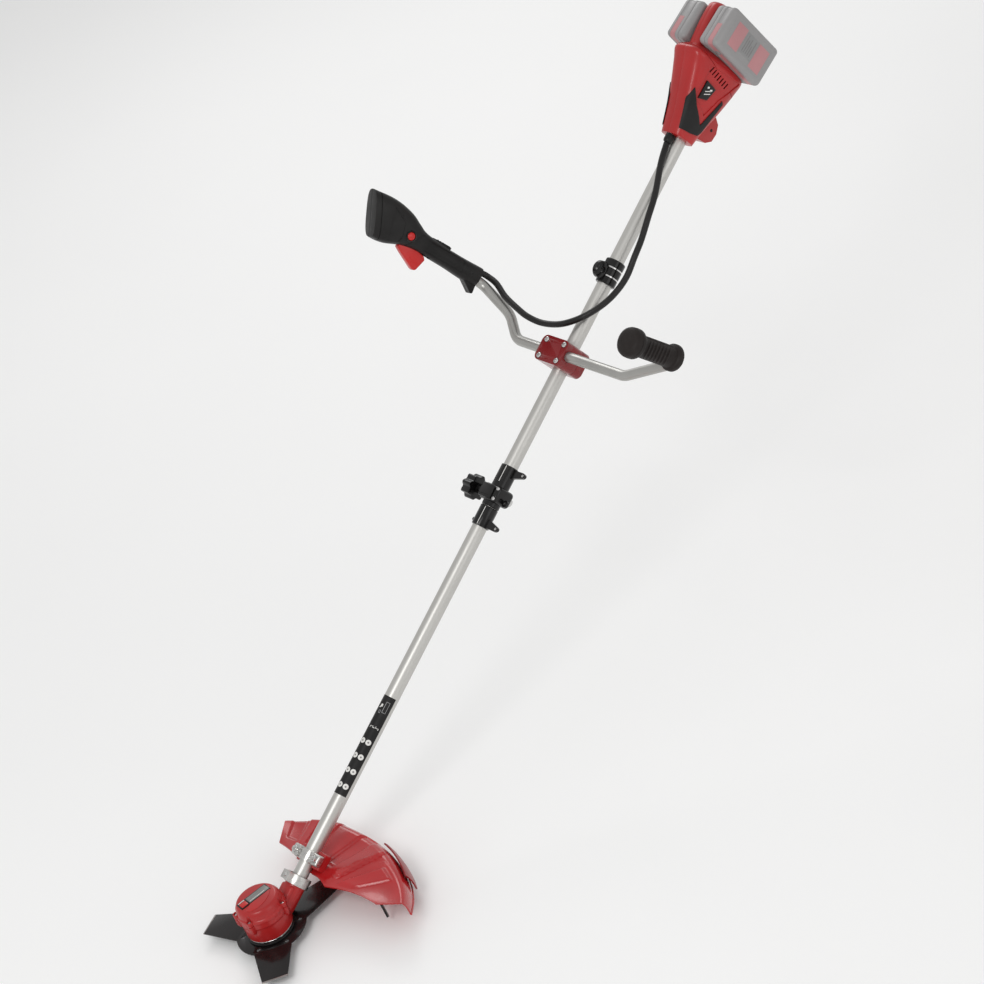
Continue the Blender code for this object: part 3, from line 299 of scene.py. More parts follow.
def turned(profile, steps=64):
    """Turn (radius, height) points about Z; the profile may start and end on the axis."""
    maker = bmesh.new()
    rows = []
    for radius, height in profile:
        if radius < 1e-7:
            rows.append([maker.verts.new((0, 0, height))])
            continue
        rows.append([maker.verts.new((radius * math.cos(2 * math.pi * i / steps),
            radius * math.sin(2 * math.pi * i / steps), height)) for i in range(steps)])
    pairs = list(zip(rows, rows[1:]))
    if len(rows[0]) > 1 and len(rows[-1]) > 1:
        pairs.append((rows[-1], rows[0]))
    for lower, upper in pairs:
        for i in range(steps):
            j = (i + 1) % steps
            corners = [lower[i % len(lower)], lower[j % len(lower)]]
            corners += [upper[j % len(upper)], upper[i % len(upper)]]
            maker.faces.new(list(dict.fromkeys(corners)))
    return finished(maker)


def disc(radius, bottom, top, bevel=0.0):
    if bevel <= 0:
        return [(0, bottom), (radius, bottom), (radius, top), (0, top)]
    return [(0, bottom), (radius - bevel, bottom), (radius, bottom + bevel), (radius, top - bevel),
        (radius - bevel, top), (0, top)]


def ring(inner, outer, bottom, top, bevel=0.0):
    if bevel <= 0:
        return [(inner, bottom), (outer, bottom), (outer, top), (inner, top)]
    return [(inner, bottom), (outer - bevel, bottom), (outer, bottom + bevel), (outer, top - bevel),
        (outer - bevel, top), (inner, top)]


def prism(outline, bottom, top):
    """Raise a flat outline of (x, y) points from bottom to top along Z."""
    maker = bmesh.new()
    low = [maker.verts.new((x, y, bottom)) for x, y in outline]
    high = [maker.verts.new((x, y, top)) for x, y in outline]
    maker.faces.new(low)
    maker.faces.new(high)
    skin(maker, [low, high])
    return finished(maker)


def side_prism(outline, near, far):
    """Raise an outline of (x, z) points from near to far along Y."""
    mesh = prism([(x, -z) for x, z in outline], near, far)
    mesh.transform(Matrix(((1, 0, 0, 0), (0, 0, 1, 0), (0, -1, 0, 0), (0, 0, 0, 1))))
    return mesh


def block(size, centre=(0, 0, 0), bevel=0.0, segments=3):
    maker = bmesh.new()
    bmesh.ops.create_cube(maker, size=1.0)
    bmesh.ops.scale(maker, vec=size, verts=maker.verts)
    bmesh.ops.translate(maker, vec=centre, verts=maker.verts)
    if bevel > 0:
        bmesh.ops.bevel(maker, geom=list(maker.edges), offset=bevel, segments=segments, profile=0.5,
            affect='EDGES', clamp_overlap=True)
    return finished(maker)


def rod(start, end, radius, steps=48):
    start, end = Vector(start), Vector(end)
    mesh = turned(disc(radius, 0.0, (end - start).length), steps)
    aim = Vector((0, 0, 1)).rotation_difference(end - start).to_matrix().to_4x4()
    mesh.transform(Matrix.Translation(start) @ aim)
    return mesh


def eased(sections, fine=6):
    """More sections on a smooth curve through the given ones."""
    rows = [tuple(2 * a - b for a, b in zip(sections[0], sections[1]))] + list(sections)
    rows.append(tuple(2 * a - b for a, b in zip(sections[-1], sections[-2])))
    result = []
    for before, start, end, after in zip(rows, rows[1:], rows[2:], rows[3:]):
        for k in range(fine):
            t = k / fine
            result.append(tuple(0.5 * (2 * q + (r - p) * t + (2 * p - 5 * q + 4 * r - s) * t ** 2
                + (3 * q - p - 3 * r + s) * t ** 3)
                for p, q, r, s in zip(before, start, end, after)))
    result.append(sections[-1])
    return result


def loft(sections, grow=0.0, steps=72):
    """Skin oval sections (at, low, high, half width, power) along X."""
    maker = bmesh.new()
    rings = []
    last = len(sections) - 1
    for index, (at, low, high, half_width, power) in enumerate(sections):
        place = at - grow if index == 0 else at + grow if index == last else at
        middle = (low + high) / 2
        half_height = (high - low) / 2 + grow
        row = []
        for i in range(steps):
            angle = 2 * math.pi * (i + 0.5) / steps
            cosine, sine = math.cos(angle), math.sin(angle)
            across = math.copysign(abs(cosine) ** (2 / power), cosine)
            upward = math.copysign(abs(sine) ** (2 / power), sine)
            row.append(maker.verts.new((place, (half_width + grow) * across,
                middle + half_height * upward)))
        rings.append(row)
    skin(maker, rings)
    maker.faces.new(rings[0])
    maker.faces.new(rings[-1])
    return finished(maker)


def rounded_path(corners, radii, steps=12):
    """Points along a bent rod, with an arc of the given radius at each inner corner."""
    path = [corners[0]]
    for before, corner, after, radius in zip(corners, corners[1:], corners[2:], radii):
        back = (before - corner).normalized()
        ahead = (after - corner).normalized()
        half = back.angle(ahead) / 2
        room = 0.48 * min((before - corner).length, (after - corner).length)
        reach = min(radius / math.tan(half), room)
        radius = reach * math.tan(half)
        middle = corner + (back + ahead).normalized() * (radius / math.sin(half))
        first = (corner + back * reach - middle).normalized()
        last = (corner + ahead * reach - middle).normalized()
        for i in range(steps + 1):
            path.append(middle + first.slerp(last, i / steps) * radius)
    path.append(corners[-1])
    return path


def pipe(path, radius, steps=32):
    """Sweep a round rod along a path; radius is a number or a function of the share along it."""
    maker = bmesh.new()
    last = len(path) - 1
    tangents = [(path[min(i + 1, last)] - path[max(i - 1, 0)]).normalized()
        for i in range(len(path))]
    side = tangents[0].orthogonal().normalized()
    rings = []
    for i, tangent in enumerate(tangents):
        if i > 0:
            side = tangents[i - 1].rotation_difference(tangent) @ side
        side = (side - tangent * side.dot(tangent)).normalized()
        other = tangent.cross(side)
        size = radius(i / last) if callable(radius) else radius
        rings.append([maker.verts.new(path[i]
            + (side * math.cos(2 * math.pi * k / steps)
            + other * math.sin(2 * math.pi * k / steps)) * size) for k in range(steps)])
    skin(maker, rings)
    maker.faces.new(rings[0])
    maker.faces.new(rings[-1])
    return finished(maker)


def polar(radius, angle):
    return (radius * math.cos(angle), radius * math.sin(angle))


# ---- objects -------------------------------------------------------------------
def link(name, mesh, place=Matrix.Identity(4)):
    thing = bpy.data.objects.new(name, mesh)
    bpy.context.scene.collection.objects.link(thing)
    thing.matrix_world = place
    return thing


def baked(thing):
    """Apply an object's modifiers to its mesh."""
    bpy.context.view_layer.update()
    seen = thing.evaluated_get(bpy.context.evaluated_depsgraph_get())
    mesh = bpy.data.meshes.new_from_object(seen)
    thing.modifiers.clear()
    thing.data = mesh
    return mesh


def cut(mesh, place=None):
    return 'DIFFERENCE', mesh, place


def join(mesh, place=None):
    return 'UNION', mesh, place


def keep(mesh):
    return 'INTERSECT', mesh, None


def shaped(mesh, *steps):
    """A mesh after boolean steps, each made by cut, join or keep."""
    target = link("shaping", mesh)
    tools = []
    for operation, tool_mesh, place in steps:
        tool = link("tool", tool_mesh, place or Matrix.Identity(4))
        tools.append(tool)
        modifier = target.modifiers.new("step", 'BOOLEAN')
        modifier.operation = operation
        modifier.object = tool
        modifier.solver = 'EXACT'
    result = baked(target)
    for thing in tools + [target]:
        bpy.data.objects.remove(thing, do_unlink=True)
    return result


def piece(name, mesh, material, body, place=Matrix.Identity(4), stands_for=(), bevel=0.0,
        segments=3, angle=32.0):
    """A finished piece that rides on a body, in place of the CAD nodes it stands for."""
    thing = link(name, mesh, place)
    mesh.materials.clear()
    mesh.materials.append(material)
    if bevel > 0.0:
        modifier = thing.modifiers.new("bevel", 'BEVEL')
        modifier.width = bevel
        modifier.segments = segments
        modifier.limit_method = 'ANGLE'
        modifier.angle_limit = math.radians(angle)
        modifier.miter_outer = 'MITER_ARC'
        modifier.harden_normals = False
        mesh = baked(thing)
    mesh.shade_smooth()
    mesh.set_sharp_from_angle(angle=math.radians(angle + 3))
    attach(thing, body)
    if stands_for:
        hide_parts(*([stands_for] if isinstance(stands_for, str) else stands_for))


def paint(material, *names):
    """Give CAD nodes that stay a better material."""
    for name in names:
        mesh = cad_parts[name].data
        mesh.materials.clear()
        mesh.materials.append(material)


def screw_head(name, material, place, body, radius, height):
    """A pan-head screw with a cross recess, standing on the XY plane of place."""
    slots = [cut(block((radius * 1.25, radius * 0.3, height), (0, 0, height)), turn(angle, 'Z'))
        for angle in (0, 90)]
    profile = [(0, -0.001), (radius, -0.001), (radius, height * 0.45),
        (radius * 0.86, height * 0.8), (radius * 0.55, height), (0, height)]
    piece(name, shaped(turned(profile, 28), *slots), material, body, place=place, bevel=0.0002,
        segments=2)


def hex_nut(name, material, place, body, across, height, stands_for):
    """A six-sided nut or bolt head with rounded corners, standing on the XY plane of place."""
    outline = [polar(across, math.radians(60 * i)) for i in range(6)]
    nut = shaped(prism(outline, 0.0, height),
        keep(turned([(0, -0.001), (across * 0.9, -0.001), (across, height * 0.18),
        (across, height * 0.8), (across * 0.84, height + 0.0004), (0, height + 0.0004)], 40)))
    piece(name, nut, material, body, place=place, bevel=0.0003, segments=2, stands_for=stands_for)


# ---- cutting head ----------------------------------------------------------------
def build_blade():
    points = []
    for tooth in range(3):
        middle = TOOTH_AT + tooth * math.radians(120)
        points.append(polar(BLADE_RADIUS, middle - TOOTH_HALF))
        points.append(polar(BLADE_RADIUS, middle + TOOTH_HALF))
        root = middle + math.radians(32.2)
        span = math.radians(120 - 64.4)
        for i in range(15):
            points.append(polar(BLADE_ROOT, root + span * i / 14))
    tools = [cut(turned(disc(BLADE_BORE, 0.0, 0.03), 64))]
    for hole in range(6):
        x, y = polar(0.05, math.radians(60 * hole + 25))
        tools.append(cut(turned(disc(0.0032, 0.0, 0.03), 24), move(x, y, 0)))
    blade = shaped(prism(points, *BLADE_FACES), *tools)
    piece("trimmer_blade", blade, BLADE, "blade_rotor", stands_for="cutting_blade",
        bevel=0.0003, segments=2, angle=25.0)
    for tooth in range(3):
        middle = TOOTH_AT + tooth * math.radians(120)
        tip = [polar(0.1276, middle - TOOTH_HALF), polar(0.1276, middle + TOOTH_HALF),
            polar(0.1255, middle + math.radians(10.3)), polar(0.1255, middle - math.radians(10.3))]
        piece("tooth_edge_%d" % (tooth + 1), prism(tip, 0.01515, 0.01685), EDGE, "blade_rotor",
            bevel=0.0002, segments=2)


def build_blade_hub():
    hub = BLADE_BORE - GAP
    bore = 0.005 + GAP
    flange = turned([(bore, 0.0156), (hub, 0.0156), (hub, 0.0171), (0.0405, 0.0171),
        (0.042, 0.0178), (0.0428, 0.019), (0.0424, 0.0206), (0.0412, 0.0213), (0.033, 0.0215),
        (0.03, 0.0212), (bore, 0.0212)], 96)
    piece("drive_collar", flange, BLACK_GLOSS, "blade_rotor",
        stands_for="drive_flange")
    seal = turned([(0.029, 0.0218), (0.0392, 0.0218), (0.04, 0.0224), (0.04, 0.024),
        (0.0392, 0.0247), (0.029, 0.0247)], 96)
    piece("silver_ring", seal, STEEL, "lower_unit", stands_for="seal_ring")
    cup = turned([(0.0125, 0.004), (0.016, 0.0024), (0.02, 0.0016), (0.025, 0.0022),
        (0.029, 0.0044), (0.0308, 0.0075), (0.0306, 0.0096), (0.0292, 0.0107), (0.0125, 0.0107)],
        72)
    piece("support_cup", cup, STEEL, "blade_rotor", stands_for="glide_cup")
    clamp = turned([(0.0053, 0.011), (0.0215, 0.011), (0.0228, 0.0118), (0.023, 0.0149),
        (0.0053, 0.0149)], 64)
    piece("lower_washer", clamp, STEEL, "blade_rotor", stands_for="clamp_flange")
    hex_nut("hub_nut", STEEL, Matrix.Identity(4), "blade_rotor", 0.0098, 0.0105,
        stands_for="blade_nut")


def build_drum():
    rim = DRUM_RADIUS + RIM_STEP
    cavity = DRUM_RADIUS - 0.004
    body = turned([(0, DRUM_BOTTOM - 0.004), (DRUM_RADIUS - 0.0034, DRUM_BOTTOM - 0.004),
        (DRUM_RADIUS - 0.001, DRUM_BOTTOM - 0.0028), (DRUM_RADIUS, DRUM_BOTTOM + 0.001),
        (DRUM_RADIUS + 0.0003, DRUM_SPLIT - 0.014), (DRUM_RADIUS + 0.0005, DRUM_SPLIT - 0.01),
        (rim, DRUM_SPLIT - 0.008), (rim, DRUM_SPLIT), (0, DRUM_SPLIT)], 96)
    tools = [join(rod((NECK[0], 0, 0), (NECK[1] - 0.001, 0, 0), NECK_RADIUS), SHAFT),
        join(block((0.034, 0.03, 0.022), (0.062, 0, 0.006), 0.004, 4), SHAFT),
        cut(block((0.2, 0.2, 0.05), (0, 0, DRUM_BOTTOM - 0.025)))]
    for angle in BOSS_ANGLES:
        x, y = polar(DRUM_RADIUS + 0.0008, angle)
        boss = turned([(0, DRUM_SPLIT - 0.018), (0.0032, DRUM_SPLIT - 0.018),
            (0.0058, DRUM_SPLIT - 0.012), (0.0058, DRUM_SPLIT - 0.0004), (0, DRUM_SPLIT - 0.0004)],
            32)
        tools.append(join(boss, move(x, y, 0)))
    bore = TUBE_RADIUS + GAP
    tools += [cut(turned(disc(cavity, 0.029, DRUM_SPLIT + 0.001), 64)),
        cut(turned(disc(0.0128, 0.0265, 0.03), 48)), cut(turned(disc(0.0075, 0.02, 0.03), 32)),
        cut(turned([(0, 0.038), (0.006, 0.038), (0.006, 0.0557), (bore, 0.0557), (bore, 0.12),
        (0, 0.12)], 64), SHAFT @ ALONG_POLE)]
    piece("drum_lower", shaped(body, *tools), RED, "lower_unit",
        stands_for="motor_housing", bevel=0.0009)

    split = DRUM_SPLIT + GAP
    cover = turned([(0, split), (rim, split), (rim, split + 0.005), (rim - 0.0006, split + 0.0062),
        (DRUM_RADIUS - 0.0002, split + 0.0072), (DRUM_RADIUS - 0.001, split + 0.015),
        (0.0362, DRUM_TOP - 0.0022), (0.034, DRUM_TOP - 0.0004), (0.0322, DRUM_TOP), (0, DRUM_TOP)],
        96)
    tools = []
    for angle in BOSS_ANGLES:
        x, y = polar(DRUM_RADIUS + 0.0008, angle)
        tools.append(join(turned(disc(0.0058, split + 0.0004, split + 0.0085), 32), move(x, y, 0)))
        tools.append(cut(turned(disc(0.004, split + 0.0055, split + 0.02), 24), move(x, y, 0)))
    lens = [polar(0.042, math.radians(a)) for a in range(-62, 63, 4)]
    lens_ridge = prism([(x - 0.0205, y) for x, y in lens]
        + [(-0.001, 0.0365), (-0.0045, 0.0), (-0.001, -0.0365)], 0.0, 0.0016)
    tools.append(cut(turned([(0.02, split - 0.01), (cavity, split - 0.01), (cavity, split + 0.012),
        (0.032, DRUM_TOP - 0.004), (0.02, DRUM_TOP - 0.004)], 64)))
    cover_mesh = shaped(cover, *tools)
    piece("drum_cover", cover_mesh, RED, "lower_unit", stands_for="motor_cover",
        bevel=0.0007)
    ridge = shaped(lens_ridge, keep(turned(disc(0.0316, -0.01, 0.01), 64)))
    piece("cover_ridge", ridge, RED, "lower_unit",
        place=move(0, 0, DRUM_TOP - 0.0008) @ turn(-68, 'Z'), bevel=0.0006)
    for index, angle in enumerate(BOSS_ANGLES):
        x, y = polar(DRUM_RADIUS + 0.0008, angle)
        screw_head("cover_screw_%d" % (index + 1), STEEL, move(x, y, split + 0.0056), "lower_unit",
            0.0032, 0.0016)
    place = move(-0.001, 0.0055, DRUM_TOP) @ turn(-4, 'Z')
    piece("cover_label", block((0.059, 0.0185, 0.0016), (0, 0, 0.0004), 0.0004, 2), BLACK_GLOSS,
        "lower_unit", place)
    piece("cover_label_plate", block((0.0395, 0.015, 0.001), (0.008, 0, 0.001), 0.0003, 2),
        LABEL_GREY, "lower_unit", place)
    for index, (across, length) in enumerate(((-0.0048, 0.03), (-0.002, 0.022), (0.0008, 0.033),
            (0.004, 0.018))):
        line = block((length, 0.0011, 0.001), (-0.01 + length / 2, across, 0.0012))
        piece("cover_label_line_%d" % (index + 1), line, STICKER if index else WHITE, "lower_unit",
            place)
    piece("cover_label_mark", block((0.0125, 0.012, 0.001), (-0.0208, -0.001, 0.0012), 0.0003, 2),
        RED_CONTROL, "lower_unit", place)
    piece("cover_label_bar", block((0.0125, 0.0014, 0.001), (-0.0208, 0.007, 0.0012)), WHITE,
        "lower_unit", place)


def build_neck_parts():
    profile = ring(NECK_RADIUS + GAP, NECK_RADIUS + 0.0036, 0.082, 0.099)
    strap = shaped(turned(profile, 72),
        join(block((0.015, 0.017, 0.013), (0, 0, 0)), move(-0.024, 0, 0.0915) @ turn(90, 'Y')))
    piece("neck_band", strap, CAST, "lower_unit", SHAFT @ ALONG_POLE,
        stands_for="neck_strap", bevel=0.001)
    screw_head("neck_band_screw", STEEL, SHAFT @ move(0.0915, 0, 0.03), "lower_unit", 0.0036, 0.002)


def build_guard_clamp():
    at = GUARD_CLAMP_AT
    half = 0.01
    arch = rod((-half, 0, 0), (half, 0, 0), TUBE_RADIUS + 0.0042, 64)
    base = block((0.02, 0.07, 0.013), (0, 0, 0.0055), 0.003, 4)
    tools = [join(arch), cut(block((0.05, 0.09, 0.04), (0, 0, -0.0202))),
        cut(rod((-0.02, 0, 0), (0.02, 0, 0), TUBE_RADIUS + GAP, 64))]
    for side in (1, -1):
        tools.append(cut(block((0.004, 0.016, 0.01), (0, side * GUARD_BOLT_SIDE, -0.0012))))
    piece("guard_saddle_clamp", shaped(base, *tools), CAST, "lower_unit",
        SHAFT @ move(at, 0, 0), stands_for="guard_clamp", bevel=0.0009)
    for side, name in ((1, "guard_bolt_right"), (-1, "guard_bolt_left")):
        place = SHAFT @ move(at, side * GUARD_BOLT_SIDE, 0.0122)
        hex_nut(name + "_head", STEEL, place, "lower_unit", 0.006, 0.0042, stands_for=name)
        piece(name + "_end", turned([(0, 0.003), (0.0029, 0.003), (0.0029, 0.0062),
            (0.0024, 0.0068), (0, 0.0068)], 24), CAST, "lower_unit", place)
        for along in (-0.0062, 0.0062):
            tab = turned([(0, 0.0), (0.0042, 0.0), (0.0042, 0.0028), (0.0034, 0.0036), (0, 0.0036)],
                28)
            piece("%s_rivet_%d" % (name, 1 if along < 0 else 2), tab, CAST, "lower_unit",
                SHAFT @ move(at + along, side * 0.0178, 0.0118))


# ---- guard -------------------------------------------------------------------------
def guard_inner_radius(degrees):
    if degrees > -8:
        return 0.101 + 0.056 * ((degrees + 8) / 49) ** 2
    bay = 0.101 + 0.00035 * (-8 - degrees)
    return bay + 0.092 * max(0.0, (-33 - degrees) / 25) ** 1.3


def guard_outer_radius(degrees):
    return 0.22 + 0.044 * max(0.0, (5 - degrees) / 62) ** 1.5


def plateau(value, low, high, slope):
    """1 between low and high, falling to 0 over slope on each side."""
    rise = min(1.0, max(0.0, (value - low) / slope + 1.0))
    fall = min(1.0, max(0.0, (high - value) / slope + 1.0))
    both = min(rise, fall)
    return both * both * (3 - 2 * both)


def guard_relief(degrees, share):
    """Ribs, wells and the raised strip that are pressed into the deck."""
    tongue = 0.005 * plateau(degrees, -31.0 + 7.0 * share, -24.5 - 2.0 * share, 0.7)
    tongue *= plateau(share, 0.12, 0.66, 0.05)
    well = -0.0045 * plateau(degrees, -14.5, -6.0, 1.2) * plateau(share, 0.18, 0.72, 0.06)
    band = 0.003 * plateau(degrees, 9.0, 14.0, 0.8) * plateau(share, 0.1, 0.75, 0.05)
    far_band = 0.003 * plateau(degrees, 22.0, 27.0, 0.8) * plateau(share, 0.14, 0.78, 0.05)
    side_well = -0.003 * plateau(degrees, 30.0, 36.5, 0.8) * plateau(share, 0.2, 0.7, 0.05)
    corner = 0.004 * plateau(degrees, -44.0, -37.0, 1.0) * plateau(share, 0.1, 0.5, 0.06)
    return tongue + well + band + far_band + side_well + corner


def guard_height(degrees, share):
    drop = max(0.0, (share - 0.6) / 0.4) ** 1.8
    swell = 0.003 * math.sin(math.radians(degrees * 9.0)) * math.sin(math.pi * min(1.0,
        share * 1.15))
    rise = 0.022 * max(0.0, (-30 - degrees) / 27)
    base = GUARD_DECK_Z - (GUARD_DECK_Z - GUARD_SKIRT_Z - rise) * drop + swell
    return base + guard_relief(degrees, share)


def guard_mesh(start, end, first_share, lift, thick, columns, rows, reach=0.0):
    maker = bmesh.new()
    top, bottom = [], []
    for i in range(columns + 1):
        angle = start + (end - start) * i / columns
        degrees = math.degrees(angle)
        inner, outer = guard_inner_radius(degrees), guard_outer_radius(degrees) + reach
        points = []
        for k in range(rows + 1):
            share = first_share + (1 - first_share) * k / rows
            radius = inner + (outer - inner) * math.sin(share * math.pi / 2) ** 0.9
            x, y = polar(radius, angle)
            points.append(Vector((x, y, guard_height(degrees, share))))
        upper, lower = [], []
        for k in range(rows + 1):
            along = points[min(k + 1, rows)] - points[max(k - 1, 0)]
            across = Vector((-math.sin(angle), math.cos(angle), 0))
            normal = along.cross(across).normalized()
            normal = normal if normal.z > 0 else -normal
            upper.append(maker.verts.new(points[k] + normal * lift))
            lower.append(maker.verts.new(points[k] + normal * (lift - thick)))
        top.append(upper)
        bottom.append(lower)
    skin(maker, top, closed=False)
    skin(maker, bottom, closed=False)
    for k in (0, -1):
        for i in range(columns):
            maker.faces.new((top[i][k], top[i + 1][k], bottom[i + 1][k], bottom[i][k]))
    for side in (0, -1):
        for k in range(rows):
            maker.faces.new((top[side][k], top[side][k + 1], bottom[side][k + 1], bottom[side][k]))
    return finished(maker)


def build_guard():
    shield = shaped(guard_mesh(GUARD_START, GUARD_END, 0.0, 0.0, GUARD_THICK, 196, 80),
        join(block((0.03, 0.062, 0.016), (GUARD_CLAMP_AT, 0, -0.0095), 0.002), SHAFT),
        cut(rod((0.05, 0, 0), (0.3, 0, 0), TUBE_RADIUS + GAP), SHAFT))
    piece("guard_deck", shield, RED_GUARD, "lower_unit", stands_for="guard_shield",
        angle=50.0)
    rim_points = []
    for i in range(97):
        angle = GUARD_START + (GUARD_END - GUARD_START) * i / 96
        degrees = math.degrees(angle)
        x, y = polar(guard_outer_radius(degrees) - 0.0002, angle)
        rim_points.append(Vector((x, y, guard_height(degrees, 1.0) + 0.0006)))
    piece("guard_rim_bead", pipe(rim_points, 0.0019, 12), RED_GUARD, "lower_unit")
    tail = guard_mesh(math.radians(-17), math.radians(-42), 0.76, GUARD_THICK + 3 * GAP,
        GUARD_THICK, 60, 20, 0.005)
    piece("guard_tail", tail, DARK_RED, "lower_unit",
        stands_for="guard_extension", angle=50.0)
    x, y = polar(*CUTTER_AT)
    outline = [(-0.005, 0.0), (0.0012, 0.0), (0.001, -0.024), (0.0046, -0.037), (0.0092, -0.054),
        (0.0068, -0.0546), (0.0024, -0.0375), (-0.0012, -0.0245), (-0.0006, -0.0018),
        (-0.005, -0.0018)]
    piece("cutter_blade", side_prism(outline, -0.0045, 0.0045), BLACK_GLOSS, "lower_unit",
        move(x, y, CUTTER_TOP) @ Matrix.Rotation(CUTTER_AT[1], 4, 'Z')
        @ turn(CUTTER_TILT, 'X'), stands_for="line_cutter", bevel=0.0003, segments=2)


build_blade()
build_blade_hub()
build_drum()
build_neck_parts()
build_guard_clamp()
build_guard()


# ---- poles and their label ---------------------------------------------------------
def wrapped(outline, at, angle, radius=TUBE_RADIUS, low=0.00015, high=0.0005, rings=5):
    """A decal of the (along, round) outline, wrapped on the tube at an angle from its top."""
    maker = bmesh.new()
    layers = []
    for lift in (low, high):
        rows = []
        for k in range(1, rings + 1):
            row = []
            for u, v in outline:
                u, v = u * k / rings, v * k / rings
                turned_by = angle + v / radius
                row.append(maker.verts.new((at + u, (radius + lift) * math.sin(turned_by),
                    (radius + lift) * math.cos(turned_by))))
            rows.append(row)
        hub = maker.verts.new((at, (radius + lift) * math.sin(angle),
            (radius + lift) * math.cos(angle)))
        skin(maker, rows)
        for i in range(len(outline)):
            maker.faces.new((hub, rows[0][i], rows[0][(i + 1) % len(outline)]))
        layers.append(rows[-1])
    skin(maker, layers)
    return finished(maker)


def dense(outline, step):
    """The same closed outline with more points along its sides."""
    points = []
    for (x, y), (u, v) in zip(outline, outline[1:] + outline[:1]):
        count = max(1, int(math.hypot(u - x, v - y) / step))
        points += [(x + (u - x) * i / count, y + (v - y) * i / count) for i in range(count)]
    return points


def rectangle(length, width, step=0.0012):
    return dense([(-length / 2, -width / 2), (length / 2, -width / 2), (length / 2, width / 2),
        (-length / 2, width / 2)], step)


def circle(radius, steps=40):
    return [polar(radius, 2 * math.pi * i / steps) for i in range(steps)]


def build_tubes():
    tube_profile = ring(TUBE_RADIUS - 0.0015, TUBE_RADIUS, 0.0, 1.0, 0.0004)
    for name, start, end, body, node in (("lower_shaft", *LOWER_TUBE, "lower_unit", "lower_tube"),
            ("upper_shaft", *UPPER_TUBE, "upper_unit", "upper_tube")):
        profile = [(radius, height if height < 0.5 else height - 1.0 + end - start)
            for radius, height in tube_profile]
        piece(name, turned(profile, 96), TUBE, body,
            SHAFT @ move(start, 0, 0) @ ALONG_POLE, stands_for=node)


def build_tube_label():
    piece("shaft_label", wrapped(rectangle(*LABEL_SIZE, 0.0016), LABEL_AT, 0.0, rings=8, low=0.0001,
        high=0.00025), PANEL, "lower_unit", SHAFT)
    for row in range(4):
        at = LABEL_FIRST_ROW + row * LABEL_ROW_STEP
        for column, angle in enumerate((-47, 3)):
            tag = "%d_%d" % (row + 1, column + 1)
            piece("label_disc_" + tag, wrapped(circle(0.0048), at, math.radians(angle)), WHITE,
                "lower_unit", SHAFT)
            piece("label_dot_" + tag, wrapped(circle(0.0015, 24), at, math.radians(angle),
                low=0.0004, high=0.0007, rings=3), GREY_DARK, "lower_unit", SHAFT)
    bar = rectangle(0.0034, 0.0009)
    dash = rectangle(0.001, 0.0026)
    marks = [(0.3705 + 0.0008 * (k % 3), -66 + 11 * k, dash if k % 2 else bar) for k in range(7)]
    marks += [(0.41, -8, rectangle(0.005, 0.0036)), (0.4065, 2, rectangle(0.0022, 0.0022)),
        (0.399, -18, rectangle(0.0044, 0.0008)), (0.399, -6, rectangle(0.0044, 0.0008)),
        (0.4015, -12, rectangle(0.0008, 0.003)), (0.3965, -12, rectangle(0.0008, 0.003)),
        (0.418, -45, rectangle(0.0008, 0.006)), (0.399, -45, rectangle(0.0008, 0.006)),
        (0.4085, -58, rectangle(0.0196, 0.0007)), (0.4085, -32, rectangle(0.0196, 0.0007))]
    for index, (at, angle, outline) in enumerate(marks):
        piece("label_mark_%d" % (index + 1), wrapped(outline, at, math.radians(angle), rings=3),
            WHITE if index < 9 else STICKER, "lower_unit", SHAFT)


# ---- coupling ----------------------------------------------------------------------
def sleeve_steps(at, lean):
    outline = [(at - 0.01 + lean, -0.01), (at + 0.01 + lean, -0.01),
        (at + 0.0066 + lean * 0.6, -0.024), (at + 0.005, -0.038), (at + 0.0038, -0.042),
        (at + 0.0018, -0.0445), (at - 0.0018, -0.0445), (at - 0.0038, -0.042), (at - 0.005, -0.038),
        (at - 0.0066 + lean * 0.6, -0.024)]
    return [join(prism(outline, -0.0025, 0.0025)),
        cut(turned(disc(0.0024, -0.01, 0.01), 32), move(at, EAR_HOLE, 0))]


